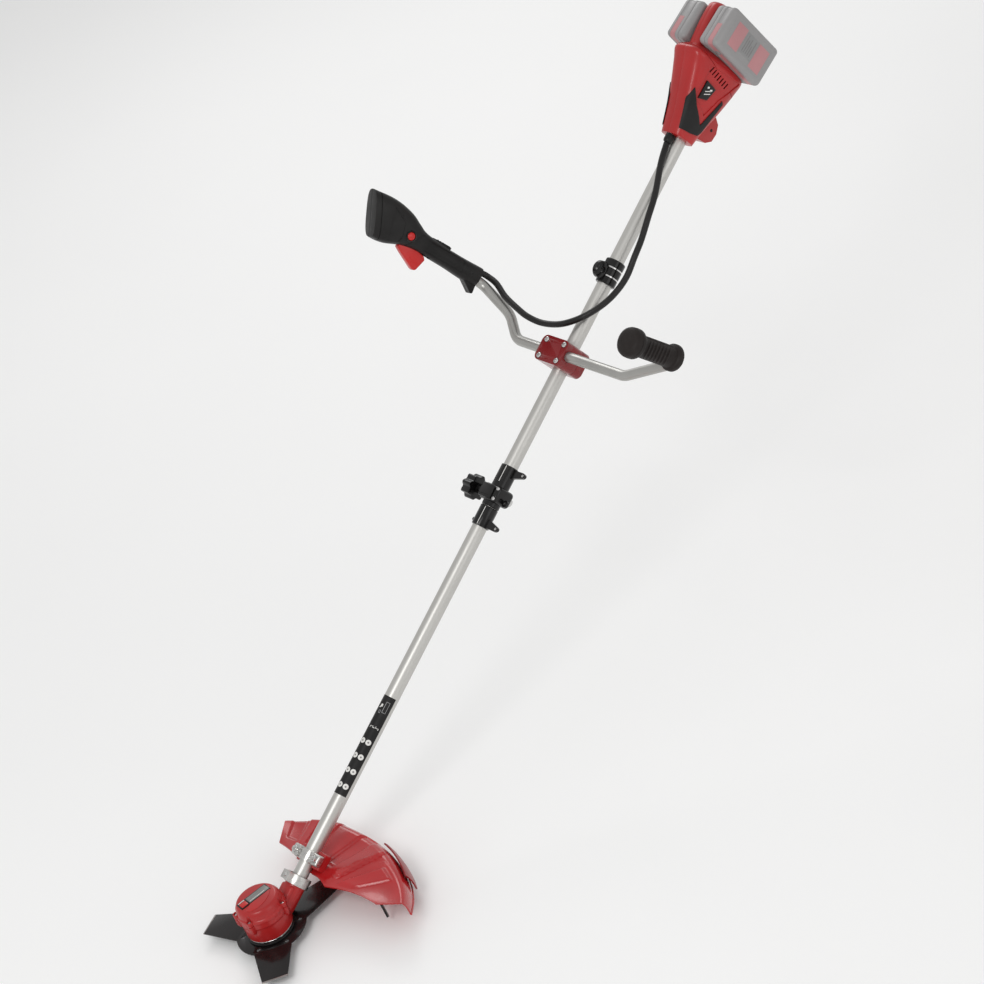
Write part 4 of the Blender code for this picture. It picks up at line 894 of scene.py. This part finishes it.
def build_coupling():
    bore = cut(rod((0.7, 0, 0), (0.9, 0, 0), TUBE_RADIUS + GAP, 96))
    collar = turned(disc(SLEEVE_RADIUS, 0.0, 0.036, 0.001), 96)
    collar.transform(move(LOWER_SLEEVE_START, 0, 0) @ ALONG_POLE)
    steps = sleeve_steps(LOWER_EAR_AT, 0.0035)
    steps.append(join(rod((0.756, 0.012, 0.004), (0.756, 0.0185, 0.004), 0.0032, 24)))
    piece("lower_collar", shaped(collar, *steps, bore), BLACK_GLOSS, "lower_unit",
        SHAFT, stands_for="lower_sleeve", bevel=0.0006)

    body = turned(disc(SLEEVE_RADIUS, 0.0, 0.0755, 0.001), 96)
    body.transform(move(UPPER_SLEEVE_START, 0, 0) @ ALONG_POLE)
    middle = COUPLING_MIDDLE
    steps = sleeve_steps(UPPER_EAR_AT, -0.0035)
    steps += [join(block((0.029, 0.045, 0.039), (middle, 0.0005, -0.001), 0.007, 6)),
        join(block((0.024, 0.03, 0.003), (middle, 0.004, 0.02), 0.001, 2)),
        join(turned(disc(0.009, 0.015, 0.044), 48), move(middle, 0, 0) @ ACROSS_POLE),
        join(turned(ring(0.0088, 0.0115, 0.027, 0.032), 48), move(middle, 0, 0) @ ACROSS_POLE),
        join(turned(disc(0.0085, -0.029, -0.012), 48), move(middle, 0, 0)),
        cut(block((0.0016, 0.06, 0.01), (middle - 0.0075, 0, 0.025))), bore,
        cut(turned(disc(0.0043, 0.01, 0.05), 32), move(middle, 0, 0) @ ACROSS_POLE),
        cut(turned(disc(0.0048, -0.035, -0.01), 32), move(middle, 0, 0))]
    piece("coupling_shell", shaped(body, *steps), BLACK_GLOSS, "upper_unit", SHAFT,
        stands_for="coupling_body", bevel=0.0008)
    for index, (x, y) in enumerate(((-0.009, -0.018), (0.009, -0.018))):
        screw_head("coupling_screw_%d" % (index + 1), STEEL, SHAFT @ move(middle + x, y, 0.0188),
            "upper_unit", 0.003, 0.0016)
    for name, at, length, ear, ride in (("lower", 0.766, 0.033, LOWER_EAR_AT, "lower_unit"),
            ("upper", 0.844, 0.029, UPPER_EAR_AT, "upper_unit")):
        # Painted highlight: a thin white line along each sleeve, on its camera-facing side, stands
        # in for the shine on the black gloss.
        line = wrapped(rectangle(length, 0.001), at, math.radians(-22), SLEEVE_RADIUS, -0.0003,
            0.0003)
        piece(name + "_painted_highlight_line", line, WHITE, ride, SHAFT)
        eyelet = turned(ring(0.0011, 0.0023, -0.0028, 0.0028), 24)
        piece(name + "_ear_eyelet", eyelet, STEEL, ride,
            SHAFT @ move(ear, EAR_HOLE, 0))
    loop = shaped(turned(ring(0.0026, 0.0062, -0.0024, 0.0024, 0.0006), 40),
        join(block((0.005, 0.009, 0.0044), (0.0, 0.008, 0))))
    piece("coupling_loop", loop, BLACK_GLOSS, "upper_unit",
        SHAFT @ move(middle - 0.008, -0.029, -0.002), bevel=0.0006, segments=2)
    piece("coupling_loop_bush", turned(ring(0.001, 0.0025, -0.003, 0.003), 24), STEEL, "upper_unit",
        SHAFT @ move(middle - 0.008, -0.029, -0.002))

    outline = [polar(0.0198 + 0.002 * math.cos(8 * a), a)
        for a in (2 * math.pi * i / 192 for i in range(192))]
    steps = [cut(turned(ring(0.011, 0.015, 0.0672, 0.07), 64)),
        join(turned([(0, 0.066), (0.0085, 0.066), (0.008, 0.0682), (0, 0.0688)], 48)),
        join(turned(disc(0.004, 0.014, 0.05), 32))]
    piece("locking_knob", shaped(prism(outline, 0.048, 0.068), *steps), BLACK_GLOSS, "lock_knob",
        SHAFT @ move(middle, 0, 0) @ ACROSS_POLE, stands_for="lock_knob",
        bevel=0.0016, segments=4)
    pin = turned([(0, -0.036), (0.0062, -0.036), (0.007, -0.0352), (0.007, -0.0301),
        (0.0062, -0.0293), (0.0045, -0.0293), (0.0045, -0.0142), (0.0039, -0.0136), (0, -0.0136)],
        48)
    piece("plunger", pin, STEEL, "lock_pin", SHAFT @ move(middle, 0, 0),
        stands_for="lock_pin")


# ---- handlebar, clamp and grips ----------------------------------------------------
def bar_path():
    grip_way = Vector((math.sin(LEFT_GRIP_TILT), 0, math.cos(LEFT_GRIP_TILT)))
    control_way = Vector((0, -math.sin(CONTROL_TILT), math.cos(CONTROL_TILT)))
    control_foot = CONTROL_BASE - Vector((CONTROL_BAR_SHIFT, 0, 0))
    corners = [LEFT_GRIP_BASE + grip_way * 0.12, LEFT_GRIP_BASE,
        Vector((CLAMP_AT, -0.175, BAR_HEIGHT)), Vector((CLAMP_AT, 0.105, BAR_HEIGHT)),
        Vector((1.1, 0.142, 0.033)), control_foot - control_way * 0.018,
        control_foot + control_way * 0.05]
    return rounded_path(corners, [0.015, 0.035, 0.035, 0.06, 0.026])


def build_handlebar():
    piece("cycle_bar", pipe(bar_path(), BAR_RADIUS, 48), BAR, "upper_unit", SHAFT,
        stands_for="handlebar", angle=60.0)
    length, width = CLAMP_SIZE
    along, across = CLAMP_SCREWS
    places = [(CLAMP_AT + i * along, j * across) for i in (-1, 1) for j in (-1, 1)]
    for node, name, low, high in (("clamp_base", "clamp_lower", -0.018, -GAP / 2),
            ("clamp_middle", "clamp_centre", GAP / 2, BAR_HEIGHT - GAP / 2),
            ("clamp_cap", "clamp_upper", BAR_HEIGHT + GAP / 2, 0.039)):
        corner = 0.011
        outline = []
        for sx, sy, first in ((1, 1, 0), (-1, 1, 90), (-1, -1, 180), (1, -1, 270)):
            for k in range(9):
                dx, dy = polar(corner, math.radians(first + 90 * k / 8))
                outline.append((CLAMP_AT + sx * (length / 2 - corner) + dx,
                    sy * (width / 2 - corner) + dy))
        steps = []
        if node != "clamp_cap":
            steps.append(cut(rod((1.0, 0, 0), (1.13, 0, 0), TUBE_RADIUS + GAP, 96)))
        if node != "clamp_base":
            steps.append(cut(rod((CLAMP_AT, -0.06, BAR_HEIGHT), (CLAMP_AT, 0.06, BAR_HEIGHT),
                BAR_RADIUS + GAP, 64)))
        for x, y in places:
            steps.append(cut(turned(disc(0.0025, -0.03, 0.05), 24), move(x, y, 0)))
            if node == "clamp_cap":
                steps.append(cut(turned(disc(0.0058, 0.0375, 0.05), 32), move(x, y, 0)))
        if node == "clamp_base":
            for side in (-1, 1):
                steps.append(cut(block((0.02, 0.008, 0.01), (CLAMP_AT, side * 0.036, -0.012),
                    0.002)))
        piece(name, shaped(prism(outline, low, high), *steps), RED_CLAMP, "upper_unit",
            SHAFT, stands_for=node, bevel=0.0011, segments=4)
    for index, (x, y) in enumerate(places):
        node = "clamp_screw_%d" % (index + 1)
        piece(node + "_shank", turned(disc(0.0022, -0.0165, 0.0385), 24), STEEL, "upper_unit",
            SHAFT @ move(x, y, 0), stands_for=node)
        screw_head(node + "_head", STEEL, SHAFT @ move(x, y, 0.038) @ turn(25 * index, 'Z'),
            "upper_unit", 0.0048, 0.003)


def build_left_grip():
    profile = [(0, 0.018), (0.0195, 0.018), (0.0218, 0.0186), (0.0225, 0.02), (0.0227, 0.0235),
        (0.0225, 0.0265), (0.0212, 0.0284), (0.0192, 0.0292), (0.018, 0.0304), (0.0178, 0.04),
        (0.0175, 0.068), (0.0178, 0.098), (0.0184, 0.105), (0.0205, 0.1072), (0.0238, 0.1088),
        (0.0249, 0.1112), (0.0252, 0.117), (0.0248, 0.1236), (0.0232, 0.1278), (0.019, 0.1302),
        (0.012, 0.1314), (0, 0.1318)]
    grip = shaped(turned(profile, 96), cut(turned(disc(BAR_RADIUS + GAP, 0.0, 0.121), 48)),
        cut(turned(ring(0.0247, 0.03, 0.1168, 0.1176), 96)))
    piece("left_rubber_grip", grip, RUBBER, "upper_unit", LEFT_GRIP,
        stands_for="left_grip", angle=40.0)
    maker = bmesh.new()
    for half in (0, 180):
        for rib in range(7):
            points = []
            for k in range(25):
                angle = math.radians(-66 + 132 * k / 24)
                bow = 0.0075 * (1 - (angle / math.radians(66)) ** 2)
                x, y = polar(0.0177, angle + math.radians(half))
                points.append(Vector((x, y, 0.043 + rib * 0.0076 + bow)))
            mesh = pipe(points, lambda share: 0.0005 + 0.0012 * math.sin(math.pi * share) ** 0.6,
                12)
            maker.from_mesh(mesh)
    piece("left_grip_ribs", finished(maker), RUBBER, "upper_unit",
        LEFT_GRIP @ turn(-100, 'Z'))
    maker = bmesh.new()
    for flute in range(10):
        for half in (0, 180):
            angle = math.radians(half + 70 + 40 * (flute / 9))
            x, y = polar(0.0176, angle)
            maker.from_mesh(pipe([Vector((x, y, z)) for z in (0.034, 0.06, 0.085, 0.102)], 0.0006,
                8))
    piece("left_grip_lines", finished(maker), RUBBER, "upper_unit",
        LEFT_GRIP @ turn(-100, 'Z'))


CONTROL_SECTIONS = [(-0.003, -0.0165, 0.0175, 0.016, 2.6), (0.006, -0.0165, 0.019, 0.0165, 2.6),
    (0.03, -0.0155, 0.0185, 0.0165, 2.4), (0.06, -0.0153, 0.0172, 0.0165, 2.3),
    (0.095, -0.017, 0.0172, 0.0165, 2.3), (0.12, -0.0195, 0.018, 0.0175, 2.4),
    (0.136, -0.026, 0.0195, 0.019, 2.5), (0.156, -0.035, 0.024, 0.0205, 2.7),
    (0.18, -0.04, 0.0335, 0.022, 3.0), (0.2, -0.041, 0.0365, 0.0225, 3.4),
    (0.216, -0.04, 0.035, 0.0222, 3.4), (0.231, -0.038, 0.032, 0.021, 3.2),
    (0.25, -0.036, 0.029, 0.019, 3.0)]
CONTROL_END = move(-0.002, 0, 0.2225) @ turn(-25, 'Y')


def upright(sections, grow=0.0):
    """A loft whose rows run up local Z, with the front towards local -X."""
    flipped = [(at, -front, -back, half_width, power)
        for at, back, front, half_width, power in sections]
    mesh = loft(eased(flipped, 5), grow, 72)
    mesh.transform(Matrix(((0, 0, 1, 0), (0, -1, 0, 0), (1, 0, 0, 0), (0, 0, 0, 1))))
    return mesh


def groove(inner, slab):
    """A cutter that bites only the skin outside inner, where slab crosses it."""
    return shaped(slab, cut(inner))


def build_control_grip():
    def inner(depth):
        return upright(CONTROL_SECTIONS, -depth)

    spike = [(-0.012, 0.03), (-0.024, 0.011), (-0.0318, -0.0012), (-0.0312, -0.0036),
        (-0.029, -0.0046), (-0.014, -0.003)]
    for name, side in (("control_grip_outer", 1), ("control_grip_inner", -1)):
        end_seam = block((0.16, 0.1, 0.0016))
        end_seam.transform(CONTROL_END @ move(0, 0, -0.0105))
        neck_seam = block((0.16, 0.1, 0.001))
        neck_seam.transform(move(0, 0, 0.134) @ turn(32, 'Y'))
        panel = side_prism([(0.027, 0.196), (-0.027, 0.183), (-0.033, 0.164), (-0.012, 0.16),
            (0.014, 0.168)], side * 0.015, side * 0.04)
        finger = side_prism([(-0.011, 0.112), (0.009, 0.108), (0.011, 0.036), (-0.01, 0.033)],
            side * 0.012, side * 0.04)
        steps = [join(side_prism(spike, -0.009, 0.009)),
            cut(block((0.16, 0.1, 0.08), (0, 0, 0.04)), CONTROL_END),
            cut(groove(inner(0.0012), end_seam)), cut(groove(inner(0.0007), neck_seam)),
            cut(groove(inner(0.0008), panel)), cut(groove(inner(0.0007), finger)),
            cut(shaped(upright(CONTROL_SECTIONS[2:], -SHELL_WALL),
            cut(block((0.16, 0.1, 0.1), (0, 0, 0.05)), CONTROL_END @ move(0, 0, -SHELL_WALL)))),
            cut(rod((-CONTROL_BAR_SHIFT, 0, -0.02), (-CONTROL_BAR_SHIFT, 0, 0.056),
            BAR_RADIUS + GAP)), cut(rod((CONTROL_CABLE_SHIFT, 0, -0.02),
            (CONTROL_CABLE_SHIFT, 0, 0.008), CABLE_RADIUS + 0.0006)),
            cut(block((0.04, 0.0152, 0.066), (-0.033, 0, 0.126))),
            cut(block((0.02, 0.0136, 0.06), (0.022, 0, 0.088))),
            cut(turned(disc(0.0075, -0.04, -0.01), 48), move(*BUTTON_AT) @ ACROSS_POLE),
            cut(block((0.2, 0.1, 0.6), (0, -side * 0.05 + side * 0.00015, 0.1)))]
        piece(name + "_shell", shaped(upright(CONTROL_SECTIONS), *steps), BLACK, "upper_unit",
            CONTROL, stands_for=name, bevel=0.0008, angle=35.0)
        for number, (x, z) in enumerate(((-0.0005, 0.015), (0.02, 0.178))):
            half_width = (0.0158, 0.0205)[number]
            screw_head("%s_screw_%d" % (name, number + 1), BLACK_GLOSS,
                CONTROL @ move(x, side * (half_width - 0.0006), z) @ turn(-90 * side, 'X'),
                "upper_unit", 0.0028, 0.0016)


def build_controls():
    outline = [(-0.0035, 0.0035), (-0.012, 0.003), (-0.018, -0.008), (-0.0255, -0.024),
        (-0.0318, -0.037), (-0.0328, -0.041), (-0.0318, -0.0442), (-0.0295, -0.0457),
        (-0.02, -0.0486), (-0.0085, -0.052), (-0.0035, -0.048), (0.002, -0.02), (0.0035, 0.0)]
    piece("finger_trigger", side_prism(outline, -0.007, 0.007), RED_CONTROL, "trigger",
        CONTROL @ move(*TRIGGER_PIVOT), stands_for="trigger", bevel=0.0016,
        segments=4, angle=25.0)
    lever = [(-0.002, 0.002), (0.0026, 0.002), (0.0058, -0.01), (0.0072, -0.03), (0.0074, -0.044),
        (0.0062, -0.0476), (0.004, -0.0482), (0.0028, -0.047), (-0.001, -0.01)]
    ribs = [join(rod((0.0068, -0.0048, -0.02 - 0.005 * k), (0.0068, 0.0048, -0.02 - 0.005 * k),
        0.0009, 12)) for k in range(5)]
    piece("safety_lever", shaped(side_prism(lever, -0.0054, 0.0054), *ribs), BLACK_GLOSS,
        "lock_off_lever", CONTROL @ move(*LEVER_PIVOT),
        stands_for="lock_off_lever", bevel=0.0006, segments=2)
    button = turned([(0, -0.0222), (0.005, -0.022), (0.0064, -0.0212), (0.007, -0.02),
        (0.007, -0.0125), (0, -0.0125)], 48)
    place = CONTROL @ move(*BUTTON_AT) @ ACROSS_POLE
    piece("round_button", button, RED_CONTROL, "start_button", place,
        stands_for="start_button")
    bezel = turned([(0.0074, -0.019), (0.009, -0.019), (0.0098, -0.0204), (0.0092, -0.0214),
        (0.0078, -0.0212)], 48)
    piece("button_bezel", bezel, BLACK_GLOSS, "upper_unit", place)


# ---- cable and hanger --------------------------------------------------------------
CABLE_POINTS = [(1.43, -0.01, 0.0215), (1.377, -0.027, 0.0165), (1.335, -0.037, 0.0155),
    (1.296, -0.043, 0.0115), (1.264, -0.045, 0.009), (1.23, -0.045, 0.0045), (1.199, -0.042, 0.007),
    (1.17, -0.035, 0.014), (1.141, -0.02, 0.0235), (1.121, 0.006, 0.026), (1.11, 0.034, 0.026),
    (1.104, 0.066, 0.03), (1.105, 0.094, 0.0385), (1.111, 0.118, 0.045), (1.1228, 0.1535, 0.052),
    (1.1385, 0.184, 0.057), (1.1443, 0.206, 0.063)]


def build_cable():
    control_way = Vector((0, -math.sin(CONTROL_TILT), math.cos(CONTROL_TILT)))
    end = CONTROL_BASE + Vector((CONTROL_CABLE_SHIFT, 0, 0)) - control_way * 0.0058
    corners = [tuple(CABLE_START)] + CABLE_POINTS + [tuple(end)]
    route = [SHAFT @ Vector(point) for point in eased(corners, 8)]
    curve = bpy.data.curves.new("cable", 'CURVE')
    curve.dimensions = '3D'
    curve.bevel_depth = CABLE_RADIUS
    curve.bevel_resolution = 8
    curve.use_fill_caps = True
    spline = curve.splines.new('POLY')
    spline.points.add(len(route) - 1)
    for point, place in zip(spline.points, route):
        point.co = (*place, 1.0)
    cable = bpy.data.objects.new("throttle_cable", curve)
    bpy.context.scene.collection.objects.link(cable)
    curve.materials.append(SHEATH)
    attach(cable, "upper_unit")
    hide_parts("control_cable")
    gland = turned([(CABLE_RADIUS + GAP, 0.0), (0.0068, 0.0), (0.008, 0.0016), (0.0085, 0.004),
        (0.0085, 0.015), (CABLE_RADIUS + GAP, 0.015)], 48)
    piece("cable_boot", gland, BLACK, "upper_unit",
        SHAFT @ Matrix.Translation(CABLE_START + Vector((0.0015, 0, 0))) @ ALONG_POLE,
        stands_for="cable_gland", bevel=0.0004)


def build_hanger():
    start, end = HANGER
    middle = (start + end) / 2
    band = turned(disc(0.0175, 0.0, end - start, 0.0014), 96)
    band.transform(move(start, 0, 0) @ ALONG_POLE)
    steps = [cut(turned(ring(0.0158, 0.03, -0.0016, 0.0016), 96), move(at, 0, 0) @ ALONG_POLE)
        for at in (start + HANGER_SLOT, end - HANGER_SLOT)]
    lug = turned([(0, -0.0085), (0.008, -0.008), (0.013, -0.0062), (0.015, -0.0036),
        (0.015, 0.0036), (0.013, 0.0062), (0.008, 0.008), (0, 0.0085)], 72)
    place = move(middle - 0.004, 0.0, 0.0235) @ ACROSS_POLE
    steps += [join(lug, place), cut(turned(disc(0.0055, -0.02, 0.02), 48),
        move(middle - 0.004, 0.0, 0.0255) @ ACROSS_POLE),
        cut(rod((1.18, 0, 0), (1.28, 0, 0), TUBE_RADIUS + GAP, 96))]
    piece("harness_bracket", shaped(band, *steps), BLACK_GLOSS, "upper_unit",
        SHAFT, stands_for="hanger", bevel=0.0007)
    for index, at in enumerate((start + HANGER_SLOT, end - HANGER_SLOT)):
        band = turned(ring(0.0152, 0.0166, -0.0011, 0.0011), 96)
        piece("hanger_slot_%d" % (index + 1), band, STEEL, "upper_unit",
            SHAFT @ move(at, 0, 0) @ ALONG_POLE)


# ---- rear housing and batteries ----------------------------------------------------
HOUSING = [(HOUSING_START, -0.018, 0.0305, 0.026, 3.2), (1.505, -0.022, 0.037, 0.029, 3.2),
    (1.535, -0.03, 0.047, 0.032, 3.4), (1.57, -0.039, 0.062, 0.036, 3.6),
    (1.6, -0.045, 0.076, 0.039, 3.8), (1.618, -0.048, 0.085, 0.04, 3.8),
    (1.629, -0.046, 0.076, 0.033, 3.2), (1.634, -0.043, 0.07, 0.026, 3.0)]
WALL = [(1.595, -0.048, 0.068, 0.016, 5.0), (1.66, -0.052, 0.0745, 0.0158, 5.0),
    (1.7, -0.053, 0.074, 0.0155, 5.0), (1.711, -0.051, 0.069, 0.014, 4.0),
    (1.7145, -0.047, 0.06, 0.0105, 3.5)]
LOBE = [(1.5, -0.015), (1.548, -0.025), (1.55, -0.038), (1.542, -0.05), (1.527, -0.056),
    (1.512, -0.054), (1.503, -0.042)]
TRIM = [(1.563, 0.05), (1.493, 0.046), (1.496, 0.01), (1.5, -0.006), (1.508, -0.011),
    (1.568, -0.02), (1.572, -0.014), (1.516, 0.001), (1.527, 0.013), (1.54, 0.03)]
BADGE = [(1.5838, 0.0378), (1.5801, 0.0121), (1.5568, 0.0172), (1.5517, 0.0347)]
PANEL_OUTLINE = [(1.6085, 0.0465), (1.55, 0.041), (1.533, 0.004), (1.57, -0.008), (1.6145, -0.033)]


def housing_loft(grow=0.0):
    return loft(eased(HOUSING, 4), grow, 96)


def build_housing():
    for side, name in ((1, "rear_housing_right"), (-1, "rear_housing_left")):
        shoulder = block((0.0011, 0.2, 0.3))
        shoulder.transform(move(1.599, 0, 0) @ turn(17, 'Y'))
        panel = side_prism(PANEL_OUTLINE, side * 0.02, side * 0.08)
        steps = [cut(groove(housing_loft(-0.0012), shoulder)),
            cut(groove(housing_loft(-0.0017), panel)), join(loft(eased(WALL, 4), 0.0, 72)),
            join(side_prism(LOBE, -0.015, 0.015)), cut(loft(HOUSING[:-2], -SHELL_WALL, 72)),
            cut(loft(WALL[:-1], -SHELL_WALL, 72)),
            cut(rod((1.45, 0, 0), (1.5, 0, 0), TUBE_RADIUS + GAP, 96)),
            cut(rod(CABLE_START, CABLE_START + Vector((0.03, 0, 0)), 0.0068, 32))]
        seat = block((0.12, 0.08, 0.2), (0.06 - GAP, side * (0.04 + BATTERY_INNER - GAP), -0.06))
        steps.append(cut(seat, Matrix.Translation(BATTERY_CORNER)
            @ Matrix.Rotation(BATTERY_TILT, 4, 'Y')))
        for slot in range(7):
            vent = block((0.012, 0.03, 0.0028), (0, 0, 0), 0.001, 2)
            vent.transform(move(1.6035 - slot * 0.0012, side * 0.04, 0.04 - slot * 0.0076)
                @ turn(14, 'Y'))
            steps.append(cut(vent))
        steps.append(cut(block((0.6, 0.2, 0.5), (1.6, -side * 0.1 + side * 0.00005, 0))))
        piece(name + "_shell", shaped(housing_loft(), *steps), RED, "upper_unit",
            SHAFT, stands_for=name, bevel=0.0004, angle=38.0)
        tag = "right" if side > 0 else "left"
        add_patch("trim_" + tag, side, TRIM, 0.0016, PANEL, "side_trim_" + tag, GAP, 0.0205)
        add_patch("plate_" + tag, side, BADGE, 0.0012, BLACK_GLOSS, "badge_" + tag, -0.0015, 0.01)
        bars = [(1.565, 0.024, 0.013, 0.0014, 62), (1.57, 0.025, 0.013, 0.0014, 62),
            (1.574, 0.0205, 0.005, 0.003, 62), (1.5755, 0.0285, 0.004, 0.003, 62)]
        for index, (at, height, length, width, lean) in enumerate(bars):
            bar = block((length, 0.03, width), (0, 0, 0))
            bar.transform(move(at, side * 0.04, height) @ turn(lean, 'Y'))
            mark = shaped(housing_loft(0.0016), keep(bar), cut(housing_loft(0.0011)))
            piece("badge_mark_%s_%d" % (tag, index + 1), mark, WHITE, "upper_unit",
                SHAFT)
        screw_head("lobe_screw_" + tag, BLACK_GLOSS,
            SHAFT @ move(1.527, side * 0.0142, -0.042) @ turn(-90 * side, 'X'), "upper_unit", 0.003,
            0.0014)


def add_patch(name, side, outline, thick, material, node, under, inside):
    patch = shaped(housing_loft(thick), keep(side_prism(outline, side * inside, side * 0.08)),
        cut(housing_loft(under)))
    piece(name, patch, material, "upper_unit", SHAFT, stands_for=node,
        bevel=0.0005, segments=2, angle=40.0)


def build_batteries():
    along, thick, length = BATTERY_SIZE
    for side, tag in ((1, "right"), (-1, "left")):
        body = "battery_" + tag
        centre = (along / 2, side * (BATTERY_INNER + thick / 2), -length / 2)
        case = block((along, thick, length), centre, 0.0085, 6)
        inside = block((along - 0.0014, thick - 0.0014, length - 0.0014), centre, 0.008, 6)
        split = block((along + 0.02, 0.0011, length + 0.02),
            (along / 2, side * (BATTERY_INNER + 0.016), -length / 2))
        belt = shaped(block((along + 0.02, 0.012, length + 0.02),
            (along / 2, side * (BATTERY_INNER + 0.03), -length / 2)), cut(inside))
        seat = block((0.03, 0.017, 0.016),
            (along / 2, side * (BATTERY_INNER + thick - 0.0165), -length))
        shell = shaped(case, cut(shaped(split, cut(inside))), cut(belt), cut(seat))
        piece(body + "_case", shell, GREY, body, BATTERY, stands_for=body,
            bevel=0.0004, segments=2, angle=30.0)
        outer = block((along - 0.0002, thick - 0.0002, length - 0.0002), centre, 0.0083, 6)
        stripe = shaped(outer, keep(block((along * 0.6, 0.0112, length * 0.97),
            (along * 0.22, side * (BATTERY_INNER + 0.03), -length * 0.47))),
            cut(block((along, thick, length), (along / 2 + 0.003, centre[1], -length / 2 - 0.003),
            0.008, 6)))
        piece(body + "_stripe", stripe, PINK, body, BATTERY)
        face = side * (BATTERY_INNER + thick)
        for index, (x, z, wide, tall) in enumerate(((0.038, -0.0345, 0.044, 0.027),
                (0.036, -0.1, 0.044, 0.029))):
            label = block((wide, 0.001, tall), (x, face, z), 0.0004, 2)
            piece("%s_label_%d" % (body, index + 1), label, PINK, body, BATTERY)
        sticker = block((0.037, 0.001, 0.033), (0.04, face, -0.067), 0.0004, 2)
        piece(body + "_sticker", sticker, STICKER, body, BATTERY)
        for line in range(5):
            wide = (0.03, 0.024, 0.028, 0.018, 0.03)[line]
            bar = block((wide, 0.001, 0.0016),
                (0.04 - (0.03 - wide) / 2, face + side * 0.0002, -0.056 - 0.0052 * line))
            piece("%s_line_%d" % (body, line + 1), bar, GREY_DARK, body, BATTERY)
        bead = rounded_path([Vector((x, face - side * 0.0006, z))
            for x, z in ((0.01, -0.013), (along - 0.01, -0.013), (along - 0.01, -length + 0.013),
            (0.01, -length + 0.013), (0.01, -0.013))], [0.008] * 3)
        piece(body + "_rim", pipe(bead, 0.0009, 10), GREY, body, BATTERY)
        button = turned([(0, 0), (0.0052, 0), (0.005, 0.0016), (0.0036, 0.0026), (0, 0.0029)], 36)
        piece(body + "_gauge", button, GREY_DARK, body,
            BATTERY @ move(0.0006, side * (BATTERY_INNER + 0.03), -0.03) @ turn(-90, 'Y'))
        for index, x in enumerate((0.013, along - 0.013)):
            foot = block((0.01, 0.018, 0.006), (x, side * (BATTERY_INNER + 0.02), -length), 0.0015)
            piece("%s_foot_%d" % (body, index + 1), foot, GREY_DARK, body, BATTERY)
        latch = "latch_" + tag
        ridges = [cut(block((0.001, 0.002, 0.01),
            (along / 2 - 0.009 + 0.003 * k, side * (BATTERY_INNER + thick - 0.0105),
            -length + 0.0033))) for k in range(7)]
        grip = shaped(block((0.028, 0.012, 0.008),
            (along / 2, side * (BATTERY_INNER + thick - 0.0165), -length + 0.0033), 0.0012),
            *ridges)
        piece("battery_catch_" + tag, grip, PINK, latch, BATTERY,
            stands_for="battery_latch_" + tag, bevel=0.0003, segments=2)


build_tubes()
build_tube_label()
build_coupling()
build_handlebar()
build_left_grip()
build_control_grip()
build_controls()
build_cable()
build_hanger()
build_housing()
build_batteries()

# ---- CAD nodes that stay, with better materials --------------------------------------
paint(SHEATH, "lower_power_lead", "upper_power_lead")
paint(NYLON, "lower_connector", "upper_connector")
paint(BOARD, "controller_board")
paint(STEEL, "spindle", "upper_bearing", "lower_bearing")
paint(IRON, "stator_core", "rotor")
paint(COPPER, "winding_ring")
paint(BLACK_GLOSS, "control_switch")


# ---- stage -------------------------------------------------------------------------
def build_stage():
    maker = bmesh.new()
    bmesh.ops.create_grid(maker, x_segments=2, y_segments=2, size=40.0)
    floor = link("floor", finished(maker), move(0.7, 0, -0.003))
    floor.data.materials.append(surface("pale_floor", (0.94, 0.94, 0.935), 0.6, mottle=0.01,
        mottle_scale=0.8, grain=0.0))
    world = bpy.data.worlds.new("studio")
    bpy.context.scene.world = world
    world.use_nodes = True
    world.node_tree.nodes["Background"].inputs["Color"].default_value = (1.0, 1.0, 1.0, 1.0)
    world.node_tree.nodes["Background"].inputs["Strength"].default_value = 0.66
    for name, place, aim, size, power in (("key", (-2.2, -1.6, 3.6), (0.6, 0.0, 0.4), 1.6, 52.0),
            ("fill", (1.2, -3.8, 1.8), (0.8, 0.0, 0.5), 2.2, 14.0),
            ("rim", (2.6, 2.6, 2.6), (0.9, 0.0, 0.5), 1.6, 24.0)):
        data = bpy.data.lights.new(name, 'AREA')
        data.size = size
        data.energy = power
        lamp = bpy.data.objects.new(name, data)
        bpy.context.scene.collection.objects.link(lamp)
        direction = Vector(aim) - Vector(place)
        lamp.rotation_euler = direction.to_track_quat('-Z', 'Y').to_euler()
        lamp.location = place
    bpy.context.scene.view_settings.view_transform = 'Standard'


build_stage()
